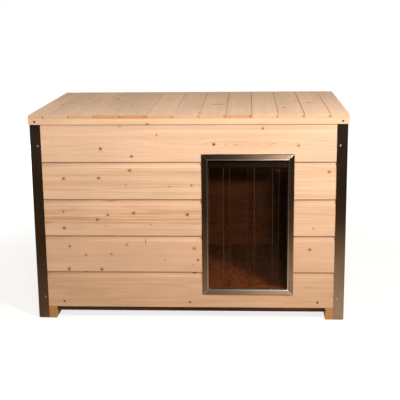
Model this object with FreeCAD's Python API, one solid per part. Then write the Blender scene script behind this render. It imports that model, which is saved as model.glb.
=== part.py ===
import FreeCAD, Part
import math
import os

# Boarded dog house with a hinged flat lid and a clear strip curtain in its doorway.
# Millimetres, +Z up. The doorway faces -Y. The origin is at the middle of the base.

# ---------------------------------------------------------------- driving dimensions
body_width = 1100.0            # over the steel corner angles
body_depth = 708.0             # over the steel corner angles

skid_height = 44.0
skid_width = 63.5
board_thickness = 18.0
board_cover = 133.0            # height that each wall board shows
top_board_cover = 132.0
board_rows = 5
board_lap = 12.0               # how far a board's lip reaches over the tongue below it
board_lip = 8.0                # thickness of that lip
cove_height = 20.0             # hollowed strip along the top of each board
cove_depth = 4.5
seam_gap = 1.5                 # open line under each lip
joint_clearance = 0.3          # between a lip and the tongue behind it

stud_depth = 30.0              # posts, rails and insulation between boards and lining
stud_width = 45.0
post_width = 30.0
lining_thickness = 6.0
floor_panel_thickness = 12.0
floor_beam_height = 60.0
floor_beam_width = 38.0
floor_beam_clearance = 24.0    # from the ground to the underside of the beams

angle_leg = 37.0
angle_thickness = 1.5
angle_foot_gap = 4.0           # the angles stop this far above the ground
angle_screw_inset = 25.0       # from the corner edge
angle_screw_low = 80.0         # height of the lower screws on front and rear
angle_screw_drop = 75.0        # the upper ones are this far below the wall top
side_screw_shift = 20.0        # side screws sit this much nearer to mid height

door_width = 281.0             # clear width between the door frame's inner edges
door_height = 469.0
door_corner_margin = 202.0     # from the right-hand corner edge to the frame's inner edge
door_bottom = 113.5            # height of the frame's lower inner edge
frame_width = 21.0             # face width of the door frame
frame_height = 6.0             # how far the frame stands out from the boards
frame_edge_height = 3.2        # the same at its thin outer edge
frame_lip_chamfer = 0.6
frame_bead_width = 2.5
frame_bead_slope = 0.8         # width of the slope outside the bead
frame_bead_step = 0.8          # and its height
frame_bead_back = 1.0          # the hollow behind starts this far outside the bead
frame_rim_width = 2.5          # rounded-down outer edge
frame_rim_rise = 0.8
frame_rim_fall = 1.0
frame_screw_share = 0.25       # place of the small screws along each side
frame_wall = 1.5
frame_leg = 15.0               # leg that lines the cut edges of the boards
frame_fit = 0.5                # between that leg and the cut edges
jamb_thickness = 18.0

strip_count = 4
strip_pitch = 86.5
strip_width = 110.0
strip_thickness = 2.0
strip_layer_gap = 0.3
strip_side_gap = 2.0
strip_sill_gap = 2.0
strip_hinge_gap = 0.3          # between the clamped edge and the swinging length
curtain_setback = 28.0         # curtain's middle plane behind the front of the angles
clamp_bar_height = 17.0
clamp_bar_thickness = 2.0
clamp_bar_drop = 13.0          # top of the bar below the frame's upper inner edge
clamp_top_margin = 6.0         # the strips reach this far above the bar
rail_thickness = 2.0
rail_flange = 18.0
rail_end_gap = 1.0

lid_overhang_side = 4.0
lid_overhang_front = 1.5
lid_gap = 0.3                  # between the wall top and the closed lid
lid_batten_height = 20.0
lid_batten_width = 70.0
lid_board_thickness = 12.5
lid_board_cover = 90.0
lid_first_board = 55.5         # width of the trimmed board at the left edge
lid_last_share = 0.25          # a last board narrower than this share of a full one isn't laid
lid_tongue = 6.0
lid_tongue_thickness = 4.0
lid_tongue_clearance = 0.2
lid_groove_depth = 7.0
lid_seam_gap = 0.4
lid_seam_chamfer = 1.2
lid_plug_clearance = 3.0       # lid lining to the cabin walls

hinge_offset = 350.0           # hinge centres either side of the middle
hinge_length = 60.0
hinge_knuckles = 5
hinge_leaf_height = 30.0
hinge_leaf_thickness = 2.0
hinge_screw_spacing = 20.0
hinge_screw_step = 5.0         # the middle screw of a leaf sits this much lower
wall_leaf_screw_share = 0.6    # screw height as a share of the leaf's
lid_leaf_screw_share = 0.65    # screw height as a share of the rear batten's
knuckle_radius = 5.0
knuckle_gap = 0.3
pin_radius = 2.5
pin_clearance = 0.05
pin_head_radius = 3.6
pin_head_thickness = 1.2

screw_radius = 2.0
screw_length = 36.0
screw_head_radius = 4.2
screw_head_height = 2.2
head_rim_share = 0.4           # of a head's height is a straight rim
head_top_share = 0.6           # of its radius is left at the flat top
screw_hole_clearance = 0.05
cut_past = 1.0                 # cutting shapes reach this far past a face
flush_head_depth = 2.0         # cone of a countersunk head
flush_head_radius = 3.8
small_screw_radius = 1.5
small_screw_length = 12.0
small_head_radius = 3.0
small_head_height = 1.6
nut_radius = 3.6
nut_height = 2.4
lid_screw_length = 95.0
lid_screw_inset = 22.0
board_screw_height = 20.0      # above the lower edge of the bottom board
board_screw_margin = 94.0      # outer ones, in from the corner edges

# ---------------------------------------------------------------- places worked out from them
wall_bottom = skid_height
wall_top = wall_bottom + (board_rows - 1) * board_cover + top_board_cover
lid_bottom = wall_top + lid_gap
lid_boards_bottom = lid_bottom + lid_batten_height
lid_top = lid_boards_bottom + lid_board_thickness

knuckle_reach = knuckle_gap + 2 * knuckle_radius - angle_thickness
front_reach = max(frame_height - angle_thickness, lid_overhang_front)
body_front = -(front_reach + body_depth + knuckle_reach) / 2 + front_reach
body_rear = body_front + body_depth
body_side = body_width / 2

board_front = body_front + angle_thickness
board_rear = body_rear - angle_thickness
board_side = body_side - angle_thickness
board_screw_spacing = body_side - board_screw_margin
stud_front = board_front + board_thickness
stud_rear = board_rear - board_thickness
stud_side = board_side - board_thickness
lining_front = stud_front + stud_depth
lining_rear = stud_rear - stud_depth
lining_side = stud_side - stud_depth
cabin_front = lining_front + lining_thickness
cabin_rear = lining_rear - lining_thickness
cabin_side = lining_side - lining_thickness

skid_inner = board_side - skid_width
beam_bottom = floor_beam_clearance
beam_top = beam_bottom + floor_beam_height
floor_top = beam_top + floor_panel_thickness

door_right = body_side - door_corner_margin
door_left = door_right - door_width
door_middle = (door_left + door_right) / 2
door_top = door_bottom + door_height
cut_margin = frame_wall + frame_fit
cut_left = door_left - cut_margin
cut_right = door_right + cut_margin
cut_bottom = door_bottom - cut_margin
cut_top = door_top + cut_margin

curtain_y = body_front + curtain_setback
strip_half_gap = strip_layer_gap / 2
strip_reach = strip_half_gap + strip_thickness
clamp_top = door_top - clamp_bar_drop
clamp_bottom = clamp_top - clamp_bar_height
strip_axis_z = clamp_bottom - strip_hinge_gap - strip_reach

hinge_y = board_rear + knuckle_gap + knuckle_radius
hinge_z = wall_top + lid_gap / 2

lid_side = body_side + lid_overhang_side
lid_front = body_front - lid_overhang_front
lid_rear = board_rear


# ---------------------------------------------------------------- helpers
def vec(x, y, z):
    return FreeCAD.Vector(x, y, z)


def box(x0, x1, y0, y1, z0, z1):
    return Part.makeBox(x1 - x0, y1 - y0, z1 - z0, vec(x0, y0, z0))


def rod(start, direction, radius, length):
    return Part.makeCylinder(radius, length, start, direction)


def prism(points, direction):
    wire = Part.makePolygon(points + [points[0]])
    return Part.Face(wire).extrude(direction)


def turned(shape, angle, x, y):
    """Turn a shape about the vertical through the origin, then slide it to x, y."""
    copy = shape.copy()
    copy.rotate(vec(0, 0, 0), vec(0, 0, 1), angle)
    copy.translate(vec(x, y, 0))
    return copy


def cut_all(shape, tools):
    return shape.cut(Part.makeCompound(tools)) if tools else shape


def save(name, solids):
    shape = solids[0] if len(solids) == 1 else Part.makeCompound(solids)
    shape.exportStep("parts/" + name + ".step")
    print(name, len(solids), "solid(s), %.0f cm3" % (shape.Volume / 1000.0))


def screw_pair(start, direction, radius, length, head_radius, head_height):
    """A screw with a low sloped head that sits on the face at start, and its hole."""
    shank = rod(start, direction, radius, length)
    rim_height = head_height * head_rim_share
    rim = rod(start - direction * rim_height, direction, head_radius, rim_height)
    crown = Part.makeCone(head_radius * head_top_share, head_radius, head_height - rim_height,
                          start - direction * head_height, direction)
    hole = rod(start - direction * cut_past, direction, radius + screw_hole_clearance, length + cut_past)
    return shank.fuse([rim, crown]).removeSplitter(), hole


def flush_screw_pair(start, direction, radius, length):
    """A countersunk screw whose head ends level with the face at start, and its hole."""
    head = Part.makeCone(flush_head_radius, radius, flush_head_depth, start, direction)
    shank = rod(start, direction, radius, length)
    sink = Part.makeCone(flush_head_radius + screw_hole_clearance, radius + screw_hole_clearance,
                         flush_head_depth, start, direction)
    hole = rod(start, direction, radius + screw_hole_clearance, length)
    return shank.fuse(head), hole.fuse(sink)


# ---------------------------------------------------------------- wall boards
def board_section(cover, is_top, is_bottom):
    """Outline of a wall board in depth (y) and height (z), its face at y = 0."""
    lip_back = board_lip + joint_clearance
    edges = []
    if is_top:
        edges.append(Part.makePolygon([vec(0, 0, 0), vec(0, 0, cover), vec(0, board_thickness, cover)]))
    else:
        foot = vec(0, 0, cover - cove_height)
        brow = vec(0, cove_depth, cover - seam_gap)
        rise = brow.z - foot.z
        radius = (rise ** 2 + cove_depth ** 2) / (2 * cove_depth)
        half = math.asin(rise / radius) / 2
        middle = vec(0, cove_depth - radius * (1 - math.cos(half)), brow.z - radius * math.sin(half))
        tongue_top = cover + board_lap - joint_clearance
        edges.append(Part.makePolygon([vec(0, 0, 0), foot]))
        edges.append(Part.Arc(foot, middle, brow).toShape())
        edges.append(Part.makePolygon([brow, vec(0, lip_back, brow.z), vec(0, lip_back, tongue_top),
                                       vec(0, board_thickness, tongue_top)]))
    last = edges[-1].BoundBox.ZMax
    if is_bottom:
        back = [vec(0, board_thickness, last), vec(0, board_thickness, 0), vec(0, 0, 0)]
    else:
        back = [vec(0, board_thickness, last), vec(0, board_thickness, board_lap),
                vec(0, board_lip, board_lap), vec(0, board_lip, 0), vec(0, 0, 0)]
    edges.append(Part.makePolygon(back))
    pieces = [edge for part in edges for edge in part.Edges]
    return Part.Face(Part.Wire(Part.__sortEdges__(pieces)))


def wall_board(row, length):
    """Board of one row, counted from the top, along +X from x = 0."""
    cover = top_board_cover if row == 1 else board_cover
    base = wall_bottom + (board_rows - row) * board_cover
    section = board_section(cover, row == 1, row == board_rows)
    board = section.extrude(vec(length, 0, 0))
    board.translate(vec(0, 0, base))
    return board


# ---------------------------------------------------------------- screws and the holes they need
def corner_signs():
    return [(-1, -1, "front_left"), (1, -1, "front_right"), (-1, 1, "rear_left"), (1, 1, "rear_right")]


def angle_screws():
    screws = []
    holes = []
    low = angle_screw_low
    high = wall_top - angle_screw_drop
    for side, end, name in corner_signs():
        face_y = body_front if end < 0 else body_rear
        for height in (low, high):
            x = side * (body_side - angle_screw_inset)
            pair = screw_pair(vec(x, face_y, height), vec(0, -end, 0), screw_radius, screw_length,
                              screw_head_radius, screw_head_height)
            screws.append(pair[0])
            holes.append(pair[1])
        for height in (low + side_screw_shift, high - side_screw_shift):
            y = face_y - end * angle_screw_inset
            pair = screw_pair(vec(side * body_side, y, height), vec(-side, 0, 0), screw_radius,
                              screw_length, screw_head_radius, screw_head_height)
            screws.append(pair[0])
            holes.append(pair[1])
    return screws, holes


def board_screws():
    screws = []
    holes = []
    for face_y, inward in ((board_front, 1), (board_rear, -1)):
        for step in (-1, 0, 1):
            start = vec(step * board_screw_spacing, face_y, wall_bottom + board_screw_height)
            screw, hole = flush_screw_pair(start, vec(0, inward, 0), screw_radius, screw_length)
            screws.append(screw)
            holes.append(hole)
    return screws, holes


def frame_screws():
    """Small screws through the frame's inner leg into the cut edges of the boards."""
    screws = []
    holes = []
    y = board_front + frame_leg / 2
    for share in (frame_screw_share, 1 - frame_screw_share):
        z = door_bottom + share * door_height
        x = door_left + share * door_width
        places = [(vec(door_left, y, z), vec(-1, 0, 0)), (vec(door_right, y, z), vec(1, 0, 0)),
                  (vec(x, y, door_bottom), vec(0, 0, -1)), (vec(x, y, door_top), vec(0, 0, 1))]
        for start, direction in places:
            length = small_screw_length
            shank = rod(start, direction, small_screw_radius, length)
            head = Part.makeCone(small_head_radius, small_screw_radius, frame_wall, start, direction)
            screws.append(shank.fuse(head))
            hole = rod(start, direction, small_screw_radius + screw_hole_clearance, length)
            sink = Part.makeCone(small_head_radius + screw_hole_clearance,
                                 small_screw_radius + screw_hole_clearance, frame_wall, start, direction)
            holes.append(hole.fuse(sink))
    return screws, holes


def hinge_screws(z):
    """Three countersunk screws for each leaf, the outer two at the given height."""
    screws = []
    holes = []
    for side in (-1, 1):
        for step in (-1, 0, 1):
            x = side * hinge_offset + step * hinge_screw_spacing
            drop = 0.0 if step else hinge_screw_step
            start = vec(x, board_rear + hinge_leaf_thickness, z - drop)
            screw, hole = flush_screw_pair(start, vec(0, -1, 0), screw_radius, screw_length)
            screws.append(screw)
            holes.append(hole)
    return screws, holes


def lid_screws():
    screws = []
    holes = []
    z = lid_bottom + lid_batten_height / 2
    for side in (-1, 1):
        for face_y, inward in ((lid_front, 1), (lid_rear, -1)):
            start = vec(side * (lid_side - lid_screw_inset), face_y, z)
            screw, hole = flush_screw_pair(start, vec(0, inward, 0), screw_radius, lid_screw_length)
            screws.append(screw)
            holes.append(hole)
    return screws, holes


def curtain_screws():
    """Three clamp screws with nuts, and two that hold the rail up to the door head."""
    screws = []
    holes = []
    front = curtain_y - strip_reach - clamp_bar_thickness
    stack = 2 * strip_reach + clamp_bar_thickness + rail_thickness
    middle = (clamp_top + clamp_bottom) / 2
    for step in (-1, 0, 1):
        start = vec(door_middle + step * strip_pitch, front, middle)
        pair = screw_pair(start, vec(0, 1, 0), small_screw_radius, stack + nut_height,
                          small_head_radius, small_head_height)
        nut_circle = [vec(nut_radius * math.cos(math.radians(a)), 0, nut_radius * math.sin(math.radians(a)))
                      for a in range(0, 360, 60)]
        nut = prism([start + vec(0, stack, 0) + corner for corner in nut_circle], vec(0, nut_height, 0))
        bore = rod(start, vec(0, 1, 0), small_screw_radius + screw_hole_clearance, stack + nut_height)
        screws.extend([pair[0], nut.cut(bore)])
        holes.append(pair[1])
    seat_z = cut_top - rail_thickness
    seat_y = curtain_y + strip_reach + rail_thickness + (rail_flange - rail_thickness) / 2
    for step in (-1, 1):
        start = vec(door_middle + step * strip_pitch / 2, seat_y, seat_z)
        pair = screw_pair(start, vec(0, 0, 1), small_screw_radius, small_screw_length,
                          small_head_radius, small_head_height)
        screws.append(pair[0])
        holes.append(pair[1])
    return screws, holes


angle_screw_solids, angle_holes = angle_screws()
board_screw_solids, board_holes = board_screws()
frame_screw_solids, frame_holes = frame_screws()
wall_leaf_screws, wall_leaf_holes = hinge_screws(hinge_z - hinge_leaf_height * wall_leaf_screw_share)
lid_leaf_screws, lid_leaf_holes = hinge_screws(lid_bottom + lid_batten_height * lid_leaf_screw_share)
lid_screw_solids, lid_holes = lid_screws()
curtain_screw_solids, curtain_holes = curtain_screws()
wall_holes = angle_holes + board_holes + wall_leaf_holes


# ---------------------------------------------------------------- base
def build_base():
    for side, name in ((-1, "skid_left"), (1, "skid_right")):
        ends = sorted((side * board_side, side * skid_inner))
        save(name, [box(ends[0], ends[1], board_front, board_rear, 0, skid_height)])

    middle_start = (stud_front + stud_rear - floor_beam_width) / 2
    beam_starts = [stud_front, middle_start, stud_rear - floor_beam_width]
    beams = []
    for y in beam_starts:
        beam = box(-skid_inner, skid_inner, y, y + floor_beam_width, beam_bottom, beam_top)
        beams.append(cut_all(beam, board_holes))
    save("floor_beams", beams)

    save("floor_panel", [box(-lining_side, lining_side, lining_front, lining_rear, beam_top, floor_top)])
    return beam_starts


def build_posts():
    posts = []
    for side, end, name in corner_signs():
        xs = sorted((side * stud_side, side * (stud_side - post_width)))
        ys = (stud_front, lining_front) if end < 0 else (lining_rear, stud_rear)
        posts.append(cut_all(box(xs[0], xs[1], ys[0], ys[1], skid_height, wall_top), angle_holes))
    save("corner_posts", posts)

    inner = stud_side - post_width
    rail_bottom = wall_top - post_width
    rails = [box(-inner, inner, stud_front, lining_front, rail_bottom, wall_top),
             box(-inner, inner, lining_rear, stud_rear, rail_bottom, wall_top)]
    for side in (-1, 1):
        xs = sorted((side * stud_side, side * lining_side))
        rails.append(box(xs[0], xs[1], lining_front, lining_rear, rail_bottom, wall_top))
    save("top_rails", [cut_all(rail, wall_leaf_holes) for rail in rails])

    middle = (stud_front + stud_rear) / 2
    half = stud_width / 2
    studs = [box(-half, half, lining_rear, stud_rear, beam_top, rail_bottom)]
    for side in (-1, 1):
        xs = sorted((side * stud_side, side * lining_side))
        studs.append(box(xs[0], xs[1], middle - half, middle + half, skid_height, rail_bottom))
    save("wall_studs", studs)
    return rail_bottom, middle, half


def build_jambs(rail_bottom):
    """Plywood box that lines the doorway behind the boards."""
    left = cut_left - jamb_thickness
    right = cut_right + jamb_thickness
    save("door_jamb_left", [box(left, cut_left, stud_front, lining_front, beam_top, rail_bottom)])
    save("door_jamb_right", [box(cut_right, right, stud_front, lining_front, beam_top, rail_bottom)])
    head = box(cut_left, cut_right, stud_front, lining_front, cut_top, cut_top + jamb_thickness)
    save("door_head", [cut_all(head, curtain_holes)])
    sill = box(cut_left, cut_right, stud_front, lining_front, beam_top, cut_bottom)
    save("door_sill", [sill])
    return left, right


def build_insulation(beam_starts, rail_bottom, middle, half, jamb_edges):
    """Foam slabs that fill the floor and the walls between the timbers."""
    slabs = []
    jamb_left, jamb_right = jamb_edges
    floor_low = beam_bottom + (floor_beam_height - stud_depth)
    for first, second in zip(beam_starts[:-1], beam_starts[1:]):
        slabs.append(box(-skid_inner, skid_inner, first + floor_beam_width, second, floor_low, beam_top))
    inner = stud_side - post_width
    for x0, x1 in ((-inner, jamb_left), (jamb_right, inner)):
        slabs.append(box(x0, x1, stud_front, lining_front, beam_top, rail_bottom))
    slabs.append(box(cut_left, cut_right, stud_front, lining_front, cut_top + jamb_thickness, rail_bottom))
    for x0, x1 in ((-inner, -half), (half, inner)):
        slabs.append(box(x0, x1, lining_rear, stud_rear, beam_top, rail_bottom))
    for side in (-1, 1):
        xs = sorted((side * stud_side, side * lining_side))
        for y0, y1 in ((lining_front, middle - half), (middle + half, lining_rear)):
            slabs.append(box(xs[0], xs[1], y0, y1, skid_height, rail_bottom))
    cutters = frame_holes + curtain_holes + angle_holes + wall_leaf_holes
    save("foam_insulation", [cut_all(slab, cutters) for slab in slabs])


# ---------------------------------------------------------------- walls
def build_front_boards():
    """The doorway notches the top and bottom boards and parts the others, tongues and all."""
    near = board_front - cut_past
    far = stud_front + cut_past
    reach = board_side + cut_past
    doorway = box(cut_left, cut_right, near, far, cut_bottom, cut_top)
    left_of_door = box(-reach, cut_left, near, far, 0, wall_top)
    right_of_door = box(cut_right, reach, near, far, 0, wall_top)
    over_door = box(cut_left + joint_clearance, cut_right - joint_clearance, near, far, cut_top, wall_top)
    for row in range(1, board_rows + 1):
        board = turned(wall_board(row, 2 * board_side), 0, -board_side, board_front)
        board = cut_all(board, wall_holes + frame_holes)
        if row in (1, board_rows):
            save("front_board_%d" % row, [board.cut(doorway)])
            continue
        save("front_board_%d_left" % row, [board.common(left_of_door)])
        save("front_board_%d_right" % row, [board.common(right_of_door)])
        seam = wall_bottom + (board_rows - row + 1) * board_cover
        if seam > cut_top:
            save("front_board_%d_over_door" % row, [board.common(over_door)])


def build_other_boards():
    rows = range(1, board_rows + 1)
    rear = [turned(wall_board(row, 2 * board_side), 180, board_side, board_rear) for row in rows]
    save("rear_boards", [cut_all(board, wall_holes) for board in rear])
    run = stud_rear - stud_front
    left = [turned(wall_board(row, run), -90, -board_side, stud_rear) for row in rows]
    save("left_boards", [cut_all(board, angle_holes) for board in left])
    right = [turned(wall_board(row, run), 90, board_side, stud_front) for row in rows]
    save("right_boards", [cut_all(board, angle_holes) for board in right])


def build_linings():
    doorway = box(cut_left, cut_right, lining_front - cut_past, cabin_front + cut_past, cut_bottom, cut_top)
    front = box(-lining_side, lining_side, lining_front, cabin_front, floor_top, wall_top).cut(doorway)
    save("lining_front", [front])
    save("lining_rear", [box(-lining_side, lining_side, cabin_rear, lining_rear, floor_top, wall_top)])
    for side, name in ((-1, "lining_left"), (1, "lining_right")):
        xs = sorted((side * lining_side, side * cabin_side))
        save(name, [box(xs[0], xs[1], cabin_front, cabin_rear, floor_top, wall_top)])


def build_angles():
    for side, end, name in corner_signs():
        xs = sorted((side * body_side, side * (body_side - angle_leg)))
        ys = (body_front, body_front + angle_leg) if end < 0 else (body_rear - angle_leg, body_rear)
        outer = box(xs[0], xs[1], ys[0], ys[1], angle_foot_gap, wall_top)
        inside_x = -side * angle_thickness
        inside_y = -end * angle_thickness
        inner = outer.copy()
        inner.translate(vec(inside_x, inside_y, 0))
        save("corner_angle_" + name, [cut_all(outer.cut(inner), angle_holes)])
    save("corner_angle_screws", angle_screw_solids)


# ---------------------------------------------------------------- door frame
def frame_section():
    """Outline of the frame: u runs outward from the clear opening, v out from the boards."""
    outer = frame_width
    bead = frame_bead_width
    high = frame_height
    inside = high - frame_bead_step - frame_wall
    return [(0, -frame_leg), (0, high - frame_lip_chamfer), (frame_lip_chamfer, high), (bead, high),
            (bead + frame_bead_slope, high - frame_bead_step),
            (outer - frame_rim_width, frame_edge_height + frame_rim_rise),
            (outer, frame_edge_height - frame_rim_fall), (outer, 0), (outer - frame_wall, 0),
            (outer - frame_wall, frame_edge_height - frame_wall), (bead + frame_bead_back, inside),
            (frame_wall, inside), (frame_wall, -frame_leg)]


def frame_rail(length, opening):
    """Rail along X over the top of an opening whose upper edge is at z = 0, mitred at both ends."""
    reach = frame_width
    points = [vec(-length / 2 - reach, -v, u) for u, v in frame_section()]
    rail = prism(points, vec(length + 2 * reach, 0, 0))
    half = length / 2
    top = reach + cut_past
    deep = frame_leg + frame_height
    mitre = prism([vec(-half + opening, -deep, -opening), vec(half - opening, -deep, -opening),
                   vec(half + top, -deep, top), vec(-half - top, -deep, top)],
                  vec(0, 2 * deep, 0))
    return rail.common(mitre)


def build_door_frame():
    spare = frame_wall
    mid_height = door_bottom + door_height / 2
    rails = {"top": (door_width, 0, door_middle, door_top),
             "bottom": (door_width, 180, door_middle, door_bottom),
             "left": (door_height, -90, door_left, mid_height),
             "right": (door_height, 90, door_right, mid_height)}
    for name, (length, angle, x, z) in rails.items():
        rail = frame_rail(length, spare)
        rail.rotate(vec(0, 0, 0), vec(0, 1, 0), angle)
        rail.translate(vec(x, board_front, z))
        save("door_frame_" + name, [cut_all(rail, frame_holes)])
    save("door_frame_screws", frame_screw_solids)


# ---------------------------------------------------------------- strip curtain
def strip_edges(index):
    """Left and right edge of one strip, counted from 0 at the left."""
    left = door_middle + (index - strip_count / 2) * strip_pitch
    right = left + strip_width
    return max(left, door_left + strip_side_gap), min(right, door_right - strip_side_gap)


def layer_planes(index):
    """Even strips hang behind, odd ones in front of them."""
    if index % 2:
        return curtain_y - strip_reach, curtain_y - strip_half_gap
    return curtain_y + strip_half_gap, curtain_y + strip_reach


def build_curtain():
    tops = []
    for index in range(strip_count):
        x0, x1 = strip_edges(index)
        y0, y1 = layer_planes(index)
        hanging = box(x0, x1, y0, y1, door_bottom + strip_sill_gap, strip_axis_z)
        roll = rod(vec(x0, curtain_y, strip_axis_z), vec(1, 0, 0), strip_reach, x1 - x0)
        rounded = roll.common(box(x0, x1, y0, y1, strip_axis_z, strip_axis_z + strip_reach))
        save("curtain_strip_%d" % (index + 1), [hanging.fuse(rounded).removeSplitter()])
        top = box(x0, x1, y0, y1, clamp_bottom, clamp_top + clamp_top_margin)
        tops.append(cut_all(top, curtain_holes))
    save("curtain_clamped_edges", tops)

    x0 = cut_left + rail_end_gap
    x1 = cut_right - rail_end_gap
    back = curtain_y + strip_reach
    front = curtain_y - strip_reach - clamp_bar_thickness
    bar = box(x0, x1, front, front + clamp_bar_thickness, clamp_bottom, clamp_top)
    save("curtain_clamp_bar", [cut_all(bar, curtain_holes)])
    web = box(x0, x1, back, back + rail_thickness, clamp_bottom, cut_top)
    flange = box(x0, x1, back, back + rail_flange, cut_top - rail_thickness, cut_top)
    save("curtain_rail", [cut_all(web.fuse(flange).removeSplitter(), curtain_holes)])
    save("curtain_screws", curtain_screw_solids)


# ---------------------------------------------------------------- lid
def lid_board(x0, x1, has_tongue, has_groove):
    """Tongued and grooved roof board that runs from front to rear."""
    low = lid_boards_bottom
    high = lid_top
    middle = (low + high) / 2
    half_tongue = lid_tongue_thickness / 2
    half_groove = half_tongue + lid_tongue_clearance
    chamfer = lid_seam_chamfer
    left = [vec(x0, 0, low), vec(x0, 0, high)]
    if has_tongue:
        tip = x0 - lid_tongue
        left = [vec(x0, 0, low), vec(x0, 0, middle - half_tongue), vec(tip, 0, middle - half_tongue),
                vec(tip, 0, middle + half_tongue), vec(x0, 0, middle + half_tongue),
                vec(x0, 0, high - chamfer), vec(x0 + chamfer, 0, high)]
    right = [vec(x1, 0, high), vec(x1, 0, low)]
    if has_groove:
        right = [vec(x1 - chamfer, 0, high), vec(x1, 0, high - chamfer), vec(x1, 0, middle + half_groove),
                 vec(x1 - lid_groove_depth, 0, middle + half_groove),
                 vec(x1 - lid_groove_depth, 0, middle - half_groove), vec(x1, 0, middle - half_groove),
                 vec(x1, 0, low)]
    board = prism(left + right, vec(0, lid_rear - lid_front, 0))
    board.translate(vec(0, lid_front, 0))
    return board


def build_lid():
    seams = [-lid_side + lid_first_board]
    while seams[-1] + lid_board_cover < lid_side - lid_board_cover * lid_last_share:
        seams.append(seams[-1] + lid_board_cover)
    starts = [-lid_side] + seams
    ends = [seam - lid_seam_gap for seam in seams] + [lid_side]
    last = len(starts) - 1
    boards = [lid_board(x0, x1, i > 0, i < last) for i, (x0, x1) in enumerate(zip(starts, ends))]
    save("lid_boards", [cut_all(board, lid_leaf_holes) for board in boards])

    holes = lid_holes + lid_leaf_holes
    inner_x = lid_side - lid_batten_width
    inner_front = lid_front + lid_batten_width
    inner_rear = lid_rear - lid_batten_width
    battens = {"front": (-lid_side, lid_side, lid_front, inner_front),
               "rear": (-lid_side, lid_side, inner_rear, lid_rear),
               "left": (-lid_side, -inner_x, inner_front, inner_rear),
               "right": (inner_x, lid_side, inner_front, inner_rear)}
    for name, (x0, x1, y0, y1) in battens.items():
        batten = box(x0, x1, y0, y1, lid_bottom, lid_boards_bottom)
        save("lid_batten_" + name, [cut_all(batten, holes)])

    foam = box(-inner_x, inner_x, inner_front, inner_rear, lid_bottom, lid_boards_bottom)
    save("lid_insulation", [foam])
    gap = lid_plug_clearance
    save("lid_lining", [box(-cabin_side + gap, cabin_side - gap, cabin_front + gap, cabin_rear - gap,
                            lid_bottom - lining_thickness, lid_bottom)])
    save("lid_screws", lid_screw_solids)


# ---------------------------------------------------------------- lid hinges
def hinge_leaf(centre_x, on_lid, holes):
    """Leaf plate with its share of the knuckles, bored for the pin."""
    step = hinge_length / hinge_knuckles
    x0 = centre_x - hinge_length / 2
    up = 1 if on_lid else -1
    edge = hinge_z + up * (knuckle_radius + knuckle_gap)
    far = hinge_z + up * hinge_leaf_height
    zs = sorted((edge, far))
    back = board_rear
    plate = box(x0, x0 + hinge_length, back, back + hinge_leaf_thickness, zs[0], zs[1])
    for index in range(hinge_knuckles):
        if (index % 2 == 1) != on_lid:
            continue
        a = x0 + index * step + knuckle_gap / 2
        b = x0 + (index + 1) * step - knuckle_gap / 2
        neck = sorted((edge, hinge_z))
        plate = plate.fuse(box(a, b, back, back + hinge_leaf_thickness, neck[0], neck[1]))
        plate = plate.fuse(rod(vec(a, hinge_y, hinge_z), vec(1, 0, 0), knuckle_radius, b - a))
    bore = rod(vec(x0, hinge_y, hinge_z), vec(1, 0, 0), pin_radius + pin_clearance, hinge_length)
    return cut_all(plate.removeSplitter(), [bore] + holes)


def hinge_pin(centre_x):
    x0 = centre_x - hinge_length / 2 + knuckle_gap / 2
    length = hinge_length - knuckle_gap
    pin = rod(vec(x0, hinge_y, hinge_z), vec(1, 0, 0), pin_radius, length)
    for start in (x0 - pin_head_thickness, x0 + length):
        pin = pin.fuse(rod(vec(start, hinge_y, hinge_z), vec(1, 0, 0), pin_head_radius, pin_head_thickness))
    return pin.removeSplitter()


def build_hinges():
    centres = (-hinge_offset, hinge_offset)
    save("hinge_wall_leaves", [hinge_leaf(x, False, wall_leaf_holes) for x in centres])
    save("hinge_lid_leaves", [hinge_leaf(x, True, lid_leaf_holes) for x in centres])
    save("hinge_pins", [hinge_pin(x) for x in centres])
    save("hinge_wall_screws", wall_leaf_screws)
    save("hinge_lid_screws", lid_leaf_screws)


# ---------------------------------------------------------------- build
os.makedirs("parts", exist_ok=True)
floor_beam_starts = build_base()
top_rail_bottom, wall_middle, stud_half = build_posts()
jamb_edges = build_jambs(top_rail_bottom)
build_insulation(floor_beam_starts, top_rail_bottom, wall_middle, stud_half, jamb_edges)
build_front_boards()
build_other_boards()
build_linings()
build_angles()
save("board_screws", board_screw_solids)
build_door_frame()
build_curtain()
build_lid()
build_hinges()
print("overall height %.1f, lid hinge at y %.2f z %.2f" % (lid_top, hinge_y, hinge_z))
print("strip hinge at y %.2f z %.2f" % (curtain_y, strip_axis_z))
print("front of angles y %.2f" % body_front)
print("cabin y %.2f to %.2f, x up to %.2f" % (cabin_front, cabin_rear, cabin_side))
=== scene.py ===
# %% [markdown]
# # A boarded dog house
# The file model.glb holds the house as it was drawn: boards, steel angles, lid, hinges and curtain, each
# at its true size in metres. Here it gets its looks. The doorway faces -Y and Z points up.

# %% Load the house
import math
from functools import partial

import bmesh
import bpy
from mathutils import Matrix, Vector


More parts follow.
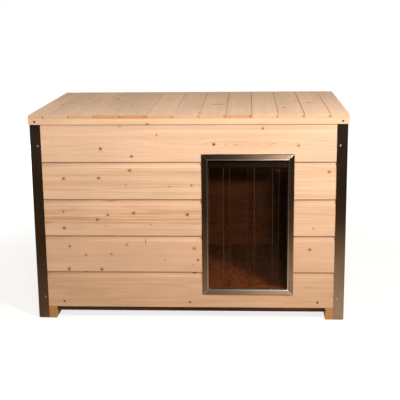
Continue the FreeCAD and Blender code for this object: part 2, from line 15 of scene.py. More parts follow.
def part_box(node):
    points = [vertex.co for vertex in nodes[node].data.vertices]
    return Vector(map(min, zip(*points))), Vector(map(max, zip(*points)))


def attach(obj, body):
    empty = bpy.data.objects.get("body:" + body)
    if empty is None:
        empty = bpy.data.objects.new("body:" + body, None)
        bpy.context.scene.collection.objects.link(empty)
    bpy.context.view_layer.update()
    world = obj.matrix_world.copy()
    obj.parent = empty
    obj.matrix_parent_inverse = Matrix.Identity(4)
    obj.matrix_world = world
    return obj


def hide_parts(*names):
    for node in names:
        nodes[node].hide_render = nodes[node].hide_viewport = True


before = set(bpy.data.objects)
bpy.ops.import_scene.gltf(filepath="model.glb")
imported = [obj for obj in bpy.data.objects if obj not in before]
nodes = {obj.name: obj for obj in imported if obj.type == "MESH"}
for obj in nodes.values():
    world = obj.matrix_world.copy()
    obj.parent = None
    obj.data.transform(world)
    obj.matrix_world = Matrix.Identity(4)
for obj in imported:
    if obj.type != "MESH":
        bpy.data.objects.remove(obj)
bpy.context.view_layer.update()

# %% [markdown]
# The picture is square and was taken from slightly above, a little right of the middle. A camera is
# set by its place, three angles and a focal length, so these are written down as numbers. Blender's
# camera looks along its own -Z, so the matrix is filled with the right, up and backward directions.

# %% Camera
CAMERA_PLACE = Vector((0.2107, -3.4830, 1.1684))
CAMERA_YAW = math.radians(3.1171)
CAMERA_PITCH = math.radians(13.0768)
CAMERA_ROLL = math.radians(-0.6486)
CAMERA_LENS = 82.587          # mm
CAMERA_SENSOR = 36            # mm wide


def put(name, data):
    """A new object at the origin of the scene."""
    made = bpy.data.objects.new(name, data)
    bpy.context.scene.collection.objects.link(made)
    return made


forward = Vector((-math.sin(CAMERA_YAW) * math.cos(CAMERA_PITCH),
                  math.cos(CAMERA_YAW) * math.cos(CAMERA_PITCH), -math.sin(CAMERA_PITCH)))
level = Vector((math.cos(CAMERA_YAW), math.sin(CAMERA_YAW), 0))
upward = level.cross(forward)
right = math.cos(CAMERA_ROLL) * level + math.sin(CAMERA_ROLL) * upward
top = -math.sin(CAMERA_ROLL) * level + math.cos(CAMERA_ROLL) * upward
camera = put("camera", bpy.data.cameras.new("camera"))
camera.data.lens = CAMERA_LENS
camera.data.sensor_width = CAMERA_SENSOR
turned_camera = Matrix((right, top, -forward)).transposed().to_4x4()
camera.matrix_world = Matrix.Translation(CAMERA_PLACE) @ turned_camera
bpy.context.scene.camera = camera
bpy.context.scene.view_settings.view_transform = "Standard"
print("camera", [round(v, 3) for v in camera.location])

# %% [markdown]
# Colours are written as the hex values that a screen shows, and one function turns them to the
# linear values that shaders use. A second small function adds any node with its settings and links.
# On a Mix node for colours, input 0 is the share, 6 and 7 are the two colours, and output 2 is the
# result.

# %% Colour and node helpers
RGBA = dict(data_type="RGBA")


def linear(hex_colour):
    """An sRGB hex colour such as "e8c49a" as linear red, green, blue and alpha."""
    parts = [int(hex_colour[i:i + 2], 16) / 255 for i in (0, 2, 4)]
    return [c / 12.92 if c <= 0.04045 else ((c + 0.055) / 1.055) ** 2.4 for c in parts] + [1.0]


def add(tree, kind, *values, stops=(), **settings):
    """Add a node and return its outputs. Values and sockets feed its inputs in order, or by the
    keys of a dict; stops are those of a colour ramp, and hex strings on colour inputs become
    colours."""
    made = tree.nodes.new(kind if "Node" in kind else "ShaderNode" + kind)
    for name, value in settings.items():
        setattr(made, name, value)
    feeds = {}
    for index, value in enumerate(values):
        feeds.update(value if isinstance(value, dict) else {index: value})
    for key, value in feeds.items():
        if isinstance(value, bpy.types.NodeSocket):
            tree.links.new(value, made.inputs[key])
        else:
            is_colour = made.inputs[key].type == "RGBA" and isinstance(value, str)
            made.inputs[key].default_value = linear(value) if is_colour else value
    for index, (place, value) in enumerate(stops):
        elements = made.color_ramp.elements
        element = elements[index] if index < len(elements) else elements.new(place)
        element.position = place
        element.color = linear(value) if isinstance(value, str) else (value, value, value, 1)
    return made.outputs


def new_material(name):
    """An empty material, and the add function tied to its node tree, which is called n below."""
    material = bpy.data.materials.new(name)
    material.use_nodes = True
    material.node_tree.nodes.clear()
    return material, partial(add, material.node_tree)


def surface(n, inputs, height=None, bump=(0.2, 0.0003)):
    """Close a material with one Principled shader, bumped where a height is given."""
    if height is not None:
        bumped = n("Bump", {"Strength": bump[0], "Distance": bump[1], "Height": height})
        inputs["Normal"] = bumped[0]
    n("OutputMaterial", n("BsdfPrincipled", inputs)[0])


def dress(name, material):
    """Give a drawn node its material."""
    nodes[name].data.materials.clear()
    nodes[name].data.materials.append(material)


print("e8c49a is", [round(c, 3) for c in linear("e8c49a")], "to a shader")

# %% [markdown]
# ## Planed spruce
# The boards are planed spruce with no finish: pale, slightly pink, with growth rings, a few small
# knots and soft streaks. A tree is a set of rings round its pith, so the pattern is made that way:
# each board gets a pith line at some place beside it, and the distance from that line picks the
# light early wood or the darker late wood. First each point needs its place on its own board. Where
# boards repeat, that is found by dividing by their pitch, which spares one material for each board.

# %% The place on a board
X, Y, Z = 0, 1, 2
WALL_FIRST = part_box("front_board_5")[0].z
WALL_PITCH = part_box("front_board_3_left")[0].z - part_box("front_board_4_left")[0].z
BOARD_SHIFT = 40.0            # metres along the grain, so that no two boards share a pattern
OUTER_FACE = 0.6              # a face that looks this far across the board is its front or back


def board_place(n, grain, across, depth, centre, pitch, first, seed):
    """Where a point is on its own board, which board that is, and a random colour for the board."""
    place = n("TexCoord")
    axes = n("SeparateXYZ", place["Object"])
    along, side, deep = axes[grain], axes[across], axes[depth]
    if pitch:
        count = n("Math", side, -first, operation="ADD")[0]
        count = n("Math", count, pitch, operation="DIVIDE")[0]
        number = n("Math", count, operation="FLOOR")[0]
        part = n("Math", count, number, operation="SUBTRACT")[0]
        local = n("Math", part, pitch, -pitch / 2, operation="MULTIPLY_ADD")[0]
        key = n("Math", number, seed, operation="ADD")[0]
    else:
        number = None
        local = n("Math", side, -centre, operation="ADD")[0]
        key = seed
    chance = n("TexWhiteNoise", {"W": key}, noise_dimensions="1D")
    shifted = n("Math", chance["Value"], BOARD_SHIFT, along, operation="MULTIPLY_ADD")[0]
    turned = n("SeparateXYZ", place["Normal"])
    outer = n("Math", turned[depth], operation="ABSOLUTE")[0]
    return dict(board=n("CombineXYZ", shifted, local, deep)[0],
                face=n("CombineXYZ", along, side, 0.0)[0],
                side=side, deep=deep, local=local, number=number, chance=chance["Color"],
                end=n("Math", turned[grain], operation="ABSOLUTE")[0],
                outer=n("Math", outer, OUTER_FACE, operation="GREATER_THAN")[0])


print("wall boards start at", round(WALL_FIRST, 4), "and repeat every", round(WALL_PITCH, 4))

# %% [markdown]
# Knots are where branches left the trunk. Rings bulge round them, so each knot gives two things: a
# dark spot, and a push on the rings near it. Knots that the front shows are placed one by one, and
# boards elsewhere get scattered ones from a cell pattern, with luck deciding which cells have one.

# %% Knots
KNOT_CELL = (0.19, 0.13)      # along and across the grain


def distance_from(n, face, x, y, half_length, half_height):
    """Distance from the middle of an oval mark on a face, 1 at its edge."""
    size = (1 / half_length, 1 / half_height, 0)
    middle = (-x * size[0], -y * size[1], 0)
    moved = n("VectorMath", face, size, middle, operation="MULTIPLY_ADD")[0]
    return n("VectorMath", moved, operation="LENGTH")[1]


def placed_knots(n, face, marks):
    """Dark cores, warm halos and ring bulges for marks given as (along, across, half length, half
    height, strength)."""
    cores = halos = bulges = 0.0
    for *oval, strength in marks:
        reach = distance_from(n, face, *oval)
        core = n("MapRange", reach, 0.95, 0.45, 0.0, strength)[0]
        halo = n("MapRange", reach, 2.2, 0.7, 0.0, 0.5 * strength,
                 interpolation_type="SMOOTHSTEP")[0]
        bulge = n("MapRange", reach, 4.0, 0.0, 0.0, 0.8 * oval[3],
                  interpolation_type="SMOOTHERSTEP")[0]
        cores = n("Math", cores, core, operation="MAXIMUM")[0]
        halos = n("Math", halos, halo, operation="MAXIMUM")[0]
        bulges = n("Math", bulges, bulge, operation="ADD")[0]
    return cores, halos, bulges


def scattered_knots(n, board, share, radius):
    """The same for random knots: that share of the cells has one, up to that radius."""
    per_cell = (1 / KNOT_CELL[0], 1 / KNOT_CELL[1], 0)
    cells = n("VectorMath", board, per_cell, operation="MULTIPLY")[0]
    cell = n("TexVoronoi", cells, {"Scale": 1.0, "Randomness": 0.9}, voronoi_dimensions="2D")
    luck = n("SeparateColor", cell["Color"])
    size = n("MapRange", luck[0], 1 - share, 1.0, 0.0, radius / KNOT_CELL[1])[0]
    present = n("Math", size, 0.004, operation="GREATER_THAN")[0]
    reach = n("Math", cell["Distance"], size, operation="SUBTRACT")[0]
    core = n("MapRange", reach, 0.004, -0.012, 0.0, 0.85)[0]
    core = n("Math", core, present, operation="MULTIPLY")[0]
    halo = n("MapRange", reach, 0.05, 0.0, 0.0, 0.45)[0]
    halo = n("Math", halo, present, operation="MULTIPLY")[0]
    near = n("MapRange", cell["Distance"], 0.20, 0.0, 0.0, 0.1,
             interpolation_type="SMOOTHERSTEP")[0]
    return core, halo, n("Math", near, size, operation="MULTIPLY")[0]


print("scattered knots have cells of", KNOT_CELL, "m")

# %% [markdown]
# Growth rings show on a face as long lines and, where the pith wanders near it, as flames. Rings
# could be drawn as waves across the face, but then a knot could not bend them. Here the distance
# from the pith line is counted in rings, and a ramp turns the part of a ring into light and dark.
# Real rings are a few millimetres wide, about as fine as a pixel of the picture, so they are drawn
# 6 mm wide and weak. Real fibres are some hundredths of a millimetre wide and are drawn 1.5 mm wide.

# %% Growth rings, streaks and fibres
RING_WIDTH = 0.006
FIBRE_WIDTH = 0.0015
RING_STOPS = [(0.0, 0.25), (0.25, 0.0), (0.72, 0.35), (0.90, 1.0), (1.0, 0.25)]


def growth_rings(n, at, pith, wander, spread, bulges):
    """Late wood, from 0 to 1, in rings round a pith line that wanders along the board."""
    slow = n("VectorMath", at["board"], (1.3, 4.0, 4.0), operation="MULTIPLY")[0]
    drift = n("TexNoise", slow, {"Scale": 1.0, "Detail": 2.0})[0]
    drift = n("MapRange", drift, 0.2, 0.8, -wander, wander, clamp=False)[0]
    luck = n("SeparateColor", at["chance"])
    sideways = n("MapRange", luck[0], 0.0, 1.0, pith[0] - spread, pith[0] + spread)[0]
    sideways = n("Math", sideways, drift, operation="ADD")[0]
    from_side = n("Math", at["local"], sideways, operation="SUBTRACT")[0]
    from_face = n("Math", drift, 0.8, pith[1], operation="MULTIPLY_ADD")[0]
    section = n("CombineXYZ", from_side, from_face)[0]
    radius = n("VectorMath", section, operation="LENGTH")[1]
    radius = n("Math", radius, bulges, operation="ADD")[0]
    uneven = n("TexNoise", {"W": radius, "Scale": 60.0, "Detail": 2.0}, noise_dimensions="1D")[0]
    turns = n("Math", radius, 1 / RING_WIDTH, uneven, operation="MULTIPLY_ADD")[0]
    return n("ValToRGB", n("Math", turns, operation="FRACT")[0], stops=RING_STOPS)[0]


def stretched_noise(n, board, sizes, detail=2.0, distortion=0.0):
    """Noise whose lumps have these sizes in metres along the grain, across it and into it."""
    scaled = n("VectorMath", board, tuple(1 / size for size in sizes), operation="MULTIPLY")[0]
    return n("TexNoise", scaled, {"Scale": 1.0, "Detail": detail, "Distortion": distortion})[0]


print("rings drawn", RING_WIDTH * 1000, "mm wide, fibres", FIBRE_WIDTH * 1000, "mm")

# %% [markdown]
# Some boards show more than rings: reddish flames where they were sawn close to the pith, nested loops
# where the pith dips towards the face, painted light and shade along the hollow at the upper edge, and
# painted shade in the seams. Each is a small function that lays its own mark over the colour so far, so a
# board takes only those that it has.

# %% Marks on a board
# Painted light and shade along each board's hollow: where the hollow starts, its edge, and how far and how
# much the face is painted lighter below it.
COVE_START, COVE_EDGE = 0.0465, 0.0015   # from the board's middle up to the hollow, and its edge
COVE_RISE, COVE_PAINTED_LIGHT = 0.026, 1.03       # the face grows lighter over this height, by this much
LOOP_STOPS = [(0.0, 0.3), (0.2, 0.0), (0.6, 0.2), (0.85, 1.0), (1.0, 0.3)]


def add_flames(n, at, colour, flames):
    """Reddish tongues, given as (height, half height, strength, tint, stop along the board)."""
    axes = n("SeparateXYZ", at["face"])
    for height, half, strength, tint, stop in flames:
        tongue = stretched_noise(n, at["board"], (0.30, 0.0048, 0.02), 3.0, 0.6)
        tongue = n("MapRange", tongue, 0.47, 0.62, 0.0, 1.0)[0]
        away = n("Math", axes[1], height, operation="SUBTRACT")[0]
        away = n("Math", away, operation="ABSOLUTE")[0]
        near = n("MapRange", away, half, half * 0.4, 0.0, strength)[0]
        near = n("Math", near, tongue, operation="MULTIPLY")[0]
        until = n("MapRange", axes[0], stop - 0.10, stop, 1.0, 0.0)[0]
        share = n("Math", near, until, operation="MULTIPLY")[0]
        colour = n("Mix", {0: share, 6: colour, 7: tint}, **RGBA)[2]
    return colour


def add_loops(n, at, colour, loops):
    """Nested loops of grain, given as (x, z, half length, half height, strength, tint)."""
    for *oval, strength, tint in loops:
        reach = distance_from(n, at["face"], *oval)
        ripple = stretched_noise(n, at["board"], (0.05, 0.02, 0.05), 3.0)
        ripple = n("Math", ripple, 2.2, operation="MULTIPLY")[0]
        turns = n("Math", reach, 3.0, operation="MULTIPLY")[0]
        turns = n("Math", ripple, turns, operation="ADD")[0]
        line = n("ValToRGB", n("Math", turns, operation="FRACT")[0], stops=LOOP_STOPS)[0]
        near = n("MapRange", reach, 1.35, 0.6, 0.0, strength, interpolation_type="SMOOTHSTEP")[0]
        near = n("Math", near, line, operation="MULTIPLY")[0]
        colour = n("Mix", {0: near, 6: colour, 7: tint}, **RGBA)[2]
    return colour


def paint_hollow_light_and_shade(n, at, shade, cove_painted_shade):
    """Painted light on a face that grows lighter up to the hollow, and painted shade in the hollow, darker
    by the given share.
    """
    flat = n("MapRange", at["local"], COVE_START - COVE_RISE, COVE_START, 1.0, COVE_PAINTED_LIGHT)[0]
    hollow = n("MapRange", at["local"], COVE_START, COVE_START + COVE_EDGE,
               0.0, COVE_PAINTED_LIGHT - (1 - cove_painted_shade))[0]
    flat = n("Math", flat, hollow, operation="SUBTRACT")[0]
    return n("Math", shade, flat, operation="MULTIPLY")[0]


def add_seam_shade(n, at, colour, seam_shade, half, width, tone):
    """Painted shade in a line along a board's edges, where the gap to the next board lies in shade; the
    seam argument holds two places across the boards and the line's strength at each."""
    strength = n("MapRange", at["side"], *seam_shade)[0]
    edge = n("Math", at["local"], operation="ABSOLUTE")[0]
    edge = n("Math", edge, half, operation="SUBTRACT")[0]
    edge = n("MapRange", edge, -width, -width * 0.33, 0.0, 1.0)[0]
    edge = n("Math", edge, strength, operation="MULTIPLY")[0]
    return n("Mix", {0: edge, 6: colour, 7: tone}, **RGBA)[2]


print("hollow starts", COVE_START * 1000, "mm above a board's middle")

# %% [markdown]
# The colours are laid over each other in the order in which the wood shows them: rings first, then
# the soft streaks, a slow change along the board, fine fibres and knots. The ends of a board drink
# in more of the light than its face, so end grain is darker and more orange. Planed softwood is
# dull but not matt: a roughness near 0.6, and a bump of some tenths of a millimetre.

# %% Spruce
KNOT_HALO, KNOT_CORE = "c27a40", "5c2a0a"


def spruce(name, grain, across, depth, early="efcfaa", late="cf9b6e", streak="dda884",
           line="d89f78", end="d9a878", pith=(0.05, 0.09), wander=0.030, spread=0.05, rings=0.30,
           streaks=0.35, lines=0.35, centre=0.0, pitch=None, first=0.0, seed=0.0, marks=(),
           scattered=0.0, knot_radius=0.006, change=0.08, flames=(), loops=(), board_ends=None,
           seam_shade=None, seam_shade_tone="a8683c", seam_shade_width=0.0018, cove_painted_shade=0.0, cut_line="b98454",
           cut_rings=0.35):
    """Spruce with its grain along one axis; a repeating pitch gives each board its own pattern."""
    material, n = new_material(name)
    at = board_place(n, grain, across, depth, centre, pitch, first, seed)
    cores, halos, bulges = placed_knots(n, at["face"], marks)
    if scattered:
        more, warm, push = scattered_knots(n, at["board"], scattered, knot_radius)
        cores = n("Math", cores, more, operation="MAXIMUM")[0]
        halos = n("Math", halos, warm, operation="MAXIMUM")[0]
        bulges = n("Math", bulges, push, operation="ADD")[0]
    ring = growth_rings(n, at, pith, wander, spread, bulges)
    band = stretched_noise(n, at["board"], (0.60, 0.016, 0.05), 3.0, 0.4)
    band = n("ValToRGB", band, stops=[(0.45, 0.0), (0.68, 1.0)])[0]
    thin = stretched_noise(n, at["board"], (0.42, 0.0034, 0.012), 4.0, 0.2)
    fibre = stretched_noise(n, at["board"], (0.10, FIBRE_WIDTH, FIBRE_WIDTH), 3.0)
    patch = stretched_noise(n, at["board"], (0.25, 0.07, 0.07))

    ring_share = n("Math", ring, rings, operation="MULTIPLY")[0]
    band_share = n("Math", band, streaks, operation="MULTIPLY")[0]
    thin_share = n("MapRange", thin, 0.46, 0.72, 0.0, lines)[0]
    colour = n("Mix", {0: ring_share, 6: early, 7: late}, **RGBA)[2]
    colour = n("Mix", {0: band_share, 6: colour, 7: streak}, **RGBA)[2]
    colour = n("Mix", {0: thin_share, 6: colour, 7: line}, **RGBA)[2]
    colour = add_flames(n, at, colour, flames)
    colour = add_loops(n, at, colour, loops)

    shade = n("MapRange", patch, 0.3, 0.7, 1 - change, 1 + change * 0.5)[0]
    if pitch:
        luck = n("SeparateColor", at["chance"])[1]
        luck = n("MapRange", luck, 0.0, 1.0, 0.88, 1.03)[0]
        shade = n("Math", shade, luck, operation="MULTIPLY")[0]
    # Painted light below each board's upper hollow, and painted shade inside it.
    if cove_painted_shade:
        shade = paint_hollow_light_and_shade(n, at, shade, cove_painted_shade)
    grey = n("CombineColor", shade, shade, shade)[0]
    colour = n("Mix", {0: 1.0, 6: colour, 7: grey}, blend_type="MULTIPLY", **RGBA)[2]
    fibre_share = n("MapRange", fibre, 0.35, 0.75, 0.0, 0.24)[0]
    colour = n("Mix", {0: fibre_share, 6: colour, 7: late}, **RGBA)[2]

    halos = n("Math", halos, at["outer"], operation="MULTIPLY")[0]
    cores = n("Math", cores, at["outer"], operation="MULTIPLY")[0]
    cores = n("Math", cores, 1.15, operation="MULTIPLY", use_clamp=True)[0]
    colour = n("Mix", {0: halos, 6: colour, 7: KNOT_HALO}, **RGBA)[2]
    colour = n("Mix", {0: cores, 6: colour, 7: KNOT_CORE}, **RGBA)[2]

    cut_share = n("Math", ring, cut_rings, operation="MULTIPLY")[0]
    cut = n("Mix", {0: cut_share, 6: end, 7: cut_line}, **RGBA)[2]
    if board_ends:
        cut = board_ends(n, at, cut)
    end_share = n("MapRange", at["end"], 0.6, 0.8, 0.0, 0.9)[0]
    colour = n("Mix", {0: end_share, 6: colour, 7: cut}, **RGBA)[2]
    # Painted shade along the seams between boards, where the gap lies in shade.
    if seam_shade:
        half = (pitch or WALL_PITCH) / 2
        colour = add_seam_shade(n, at, colour, seam_shade, half, seam_shade_width, seam_shade_tone)
    rough = n("MapRange", ring, 0.0, 1.0, 0.68, 0.58)[0]
    height = n("Math", ring, 0.5, operation="MULTIPLY")[0]
    height = n("Math", height, fibre, operation="ADD")[0]
    surface(n, {"Base Color": colour, "Roughness": rough, "Specular IOR Level": 0.15},
            height, (0.25, 0.0002))
    return material


print("knots run from", KNOT_CORE, "to", KNOT_HALO)

# %% [markdown]
# Each front board is given the knots that it shows, as places on its face in millimetres with a
# half length, a half height and a strength, and a pith of its own. The first has nested loops right
# of the middle. The second and third have reddish flames, the third the stronger ones, and the
# lowest two are calm. Each course is one material, so a board cut in two by the doorway keeps its
# grain from one half to the other.

# %% Front boards
# Planed spruce: to the eye pale, warm and dull, with pinkish lines and brown knots.
FRONT_MARKS = {
    1: [(-474, 649, 3, 2.5, 0.2), (-305, 623, 5, 5, 0.95), (-197, 596, 5, 4.5, 0.8),
        (-108, 671, 4, 4, 0.5), (90, 638, 5.5, 5, 0.95), (259, 693, 4.5, 4.5, 0.7),
        (382, 633, 4.5, 4, 0.7), (-235, 702, 7, 3, 0.3)],
    2: [(-205, 546, 7, 6, 0.6), (-439, 517, 6, 5, 0.7), (-315, 519, 6, 5, 0.7),
        (-68, 489, 4, 4, 0.3), (11, 493, 5, 4.5, 0.5), (488, 541, 6, 4.5, 0.7),
        (-220, 495, 5, 4, 0.25)],
    3: [(-445, 398, 5, 4, 0.6), (-287, 386, 5, 5, 0.6), (-325, 369, 6, 5, 0.7),
        (-195, 393, 6, 5, 0.8), (-5, 388, 6, 5.5, 0.8), (-445, 338, 6, 5, 0.8),
        (-502, 358, 17, 1.2, 0.8), (-274, 436, 30, 1.6, 0.5), (437, 338, 5, 4, 0.3),
        (-135, 352, 4, 4, 0.3), (-295, 345, 10, 3, 0.15)],
    4: [(-428, 270, 5, 5, 0.6), (-370, 238, 5, 4.5, 0.5), (-278, 242, 5, 4.5, 0.45),
        (-222, 277, 5, 4.5, 0.5), (-155, 288, 1.6, 9, 0.75), (-433, 186, 5.5, 7, 0.65),
        (-315, 185, 5.5, 6, 0.75), (18, 264, 7, 6, 0.5), (31, 221, 6, 5, 0.6),
        (426, 261, 6, 5, 0.7), (-87, 222, 4, 4, 0.25), (12, 205, 4, 4, 0.3)],
    5: [(-374, 175, 6, 3, 0.6), (17, 173, 8, 5, 0.6), (425, 121, 24, 1.5, 0.25),
        (8, 108, 4, 4, 0.2)],
}
# The early colours darken from the top board to the lowest: partly the boards' own tones, partly painted
# shade for light that falls off towards the ground.
FRONT_LOOKS_AND_SHADE = {
    1: dict(early="f2cfac", late="dba57c", streak="e3b08a", pith=(0.02, 0.075), streaks=0.25,
            lines=0.28, loops=[(0.215, 0.638, 0.17, 0.015, 0.62, "cc9460")]),
    2: dict(early="f2d1ad", late="d09d72", streak="dba87f", pith=(0.16, 0.05), streaks=0.50,
            lines=0.45, flames=[(0.487, 0.018, 0.45, "c98a58", 0.2),
                                (0.533, 0.012, 0.40, "cf9460", 0.2)]),
    3: dict(early="edcaa6", late="cb9060", streak="d8a276", pith=(0.03, 0.060), streaks=0.30,
            lines=0.40, wander=0.015, flames=[(0.378, 0.034, 0.60, "bd7844", 0.2),
                                              (0.425, 0.012, 0.35, "c98a58", 0.2)]),
    4: dict(early="e5be99", late="cd9c76", streak="d8a488", pith=(0.25, 0.10), rings=0.25,
            streaks=0.30, lines=0.30),
    5: dict(early="dfb891", late="c08f68", streak="cd9d75", pith=(-0.01, 0.11), streaks=0.40,
            lines=0.30),
}
for row, look in FRONT_LOOKS_AND_SHADE.items():
    middle = WALL_FIRST + (len(FRONT_LOOKS_AND_SHADE) - row + 0.5) * WALL_PITCH
    marks = [(*(size / 1000 for size in oval), strength) for *oval, strength in FRONT_MARKS[row]]
    wood = spruce("planed_spruce_front_%d" % row, X, Z, Y, centre=middle, marks=marks, spread=0.0,
                  seed=row * 3.7, seam_shade=(-1.0, 1.0, 0.45, 0.45), seam_shade_tone="80440f", cove_painted_shade=0.08,
                  **look)
    for name in [key for key in nodes if key.startswith("front_board_%d" % row)]:
        dress(name, wood)
print("front knots", sum(len(marks) for marks in FRONT_MARKS.values()))

# %% [markdown]
# The other walls are the same boards, and the rest is plain timber: battens under the lid, skids, posts,
# rails and studs. All of it comes from the same function with another grain direction and other tones,
# because it is the same wood. The skids were sawn and stand on the ground, so they are darker and show
# strong rings at their ends. The floor beams are nearly black brown: painted shade for the shadow under
# the house.

# %% Other timber
BATTEN_MIDDLE, SKID_MIDDLE = 0.718, 0.022     # heights

# Planed spruce of the other walls: a little yellower, with wider and darker painted shade in the seams
# than the front.
wall = dict(pitch=WALL_PITCH, first=WALL_FIRST, scattered=0.55, seam_shade=(-1.0, 1.0, 0.6, 0.6),
            seam_shade_tone="784010", seam_shade_width=0.0030, cove_painted_shade=0.10, knot_radius=0.007,
            early="ecc79b", late="c9935c")
dress("rear_boards", spruce("planed_spruce_rear", X, Z, Y, seed=11.0, **wall))
dress("left_boards", spruce("planed_spruce_left", Y, Z, X, seed=23.0, **wall))
dress("right_boards", spruce("planed_spruce_right", Y, Z, X, seed=37.0, **wall))

# Planed battens: the cleanest and palest pieces, with one knot on the front.
front_batten = spruce("planed_spruce_batten_x", X, Z, Y, centre=BATTEN_MIDDLE, seed=61.0,
                      early="f1cfaa", late="d9a87c", pith=(0.2, 0.1), streaks=0.2,
                      marks=[(-0.139, 0.709, 0.008, 0.003, 0.7)])
side_batten = spruce("planed_spruce_batten_y", Y, Z, X, centre=BATTEN_MIDDLE, seed=67.0,
                     early="f0caa0", late="d6a272", pith=(0.2, 0.1))

# Sawn skids: yellow-brown, with bold rings on their cut ends.
skid_wood = spruce("sawn_spruce_skid", Y, Z, X, centre=SKID_MIDDLE, seed=71.0, early="e0b37c",
                   late="b87c42", end="c58a50", cut_line="94602e", cut_rings=0.7,
                   pith=(-0.03, 0.0), rings=0.6)

# Inner frame, planed: plain and slightly browner, because no light bleached it.
frame_wood = spruce("planed_spruce_frame", X, Z, Y, seed=83.0, early="dcb184", late="ba8650",
                    scattered=0.3, pith=(0.1, 0.1))
upright_wood = spruce("planed_spruce_upright", Z, X, Y, seed=89.0, early="dcb184", late="ba8650",
                      scattered=0.3)

# Floor beams: nearly black brown, painted shade for the shadow under the house, so that they hardly show
# between the skids.
beam_wood_painted_shade = spruce("spruce_beams_painted_shade", X, Z, Y, seed=97.0, early="40230f", late="331c0e",
                    streak="3c2413", end="2c180c", pith=(0.1, 0.1))
for material, names in ((front_batten, ("lid_batten_front", "lid_batten_rear")),
                        (side_batten, ("lid_batten_left", "lid_batten_right")),
                        (skid_wood, ("skid_left", "skid_right")), (frame_wood, ("top_rails",)),
                        (beam_wood_painted_shade, ("floor_beams",)),
                        (upright_wood, ("corner_posts", "wall_studs"))):
    for name in names:
        dress(name, material)
print("timber finishes", sum("spruce" in material.name for material in bpy.data.materials))

# %% [markdown]
# The lid is made of thirteen narrower boards that run from front to back. Their sawn ends show along the
# front edge, each in its own tone, and each has a groove near its left edge, darkened with painted shade.
# A colour ramp read by the board's number gives the tones. The seams are fine lines of painted shade,
# plainer to the right where the lamp looks along them.

# %% Lid boards
# Planed spruce laid flat: paler than the walls, with its rings washed out by the light from above.
END_TONES = ("fff6ea", "fffaf2", "f8e8cc", "f2cea0", "f0c898", "f8e4c0", "fff4e6", "fbeed6",
             "f2d2a6", "fff2e2", "fff4e6", "fff8ee", "fffaf2")
LID_PITCH, LID_TRIMMED = 0.090, 0.0555        # a full board, and the trimmed one at the left
LID_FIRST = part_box("lid_boards")[0].x + LID_TRIMMED
LID_MIDDLE = 0.7345                           # height of the boards' middle
# Where the groove on each board end is, and the painted shade put into it.
SLOT_INSET, SLOT_HALF = 0.0050, 0.0016
SLOT_SHADE_TONE = "3e200c"


def lid_ends(n, at, cut):
    """The sawn ends: a tone for each board, and painted shade in the groove beside its left edge."""
    count = len(END_TONES)
    place = n("MapRange", at["number"], -1.0, count - 1.0, 0.001, 1.001)[0]
    tone = n("ValToRGB", place, stops=[(i / count, tone) for i, tone in enumerate(END_TONES)])[0]
    cut = n("Mix", {0: 1.0, 6: cut, 7: tone}, blend_type="MULTIPLY", **RGBA)[2]
    beside = n("Math", at["local"], SLOT_INSET - LID_PITCH / 2, operation="ADD")[0]
    above = n("Math", at["deep"], -LID_MIDDLE, operation="ADD")[0]
    away = n("CombineXYZ", beside, above)[0]
    away = n("VectorMath", away, (1.0, 0.6, 0.0), operation="MULTIPLY")[0]
    away = n("VectorMath", away, operation="LENGTH")["Value"]
    groove_shade = n("MapRange", away, SLOT_HALF * 1.5, SLOT_HALF * 0.7, 0.0, 0.95)[0]
    return n("Mix", {0: groove_shade, 6: cut, 7: SLOT_SHADE_TONE}, **RGBA)[2]


lid_wood = spruce("planed_spruce_lid", Y, X, Z, seed=5.0, pitch=LID_PITCH, first=LID_FIRST,
                  scattered=0.25, knot_radius=0.005, early="f5d4b2", late="d9b08a",
                  streak="dcb494", end="dcbc9c", streaks=0.2, rings=0.2, lines=0.12,
                  cut_rings=0.15, board_ends=lid_ends, seam_shade=(-0.45, 0.15, 0.05, 0.50),
                  marks=[(0.113, -0.306, 0.022, 0.011, 0.28), (-0.069, 0.092, 0.016, 0.028, 0.25),
                         (-0.033, 0.436, 0.014, 0.020, 0.28)])
dress("lid_boards", lid_wood)
print("lid boards start at", round(LID_FIRST, 4), "with", len(END_TONES), "end tones")

# %% [markdown]
# ## Steel
# The corner angles and the door frame are folded from stainless sheet with a ground finish. Steel has
# little colour of its own, so what it shows is the dark room above and the pale floor below, drawn
# out along the grinding lines. The scratches could be modelled, but an anisotropic shader with a
# stretched noise gives the same drawn-out shine and costs nothing in the mesh.

# %% Stainless steel
# Real grinding scratches are a few hundredths of a millimetre wide. They are drawn 0.4 mm wide, so
# that they show at all, and 120 mm long.
SCRATCH_WIDTH, SCRATCH_LENGTH = 0.0004, 0.12
# Painted highlights on the door frame: their colour and their strongest share.
LIP_PAINTED_HIGHLIGHT, LIP_HIGHLIGHT_SHARE = "f0e6d6", 0.55
door_low = (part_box("door_frame_left")[1].x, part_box("door_frame_bottom")[1].z)
door_high = (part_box("door_frame_right")[0].x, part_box("door_frame_top")[0].z)
DOORWAY = [((low + high) / 2, (high - low) / 2) for low, high in zip(door_low, door_high)]


def painted_highlight_lines(n, place):
    """Painted highlights where the door frame would catch light: along its fold beside the opening, and on
    its mitred corners.
    """
    axes = n("SeparateXYZ", place)
    beyond = []
    for axis, (middle, half) in zip((X, Z), DOORWAY):
        off = n("Math", axes[axis], middle, operation="SUBTRACT")[0]
        off = n("Math", off, operation="ABSOLUTE")[0]
        beyond.append(n("Math", off, half, operation="SUBTRACT")[0])
    from_opening = n("Math", *beyond, operation="MAXIMUM")[0]
    bend_highlight = n("MapRange", from_opening, 0.0020, 0.0040, LIP_HIGHLIGHT_SHARE, 0.0)[0]
    off_mitre = n("Math", *beyond, operation="SUBTRACT")[0]
    off_mitre = n("Math", off_mitre, operation="ABSOLUTE")[0]
    mitre_highlight = n("MapRange", off_mitre, 0.0008, 0.0018, LIP_HIGHLIGHT_SHARE, 0.0)[0]
    return n("Math", bend_highlight, mitre_highlight, operation="MAXIMUM")[0]
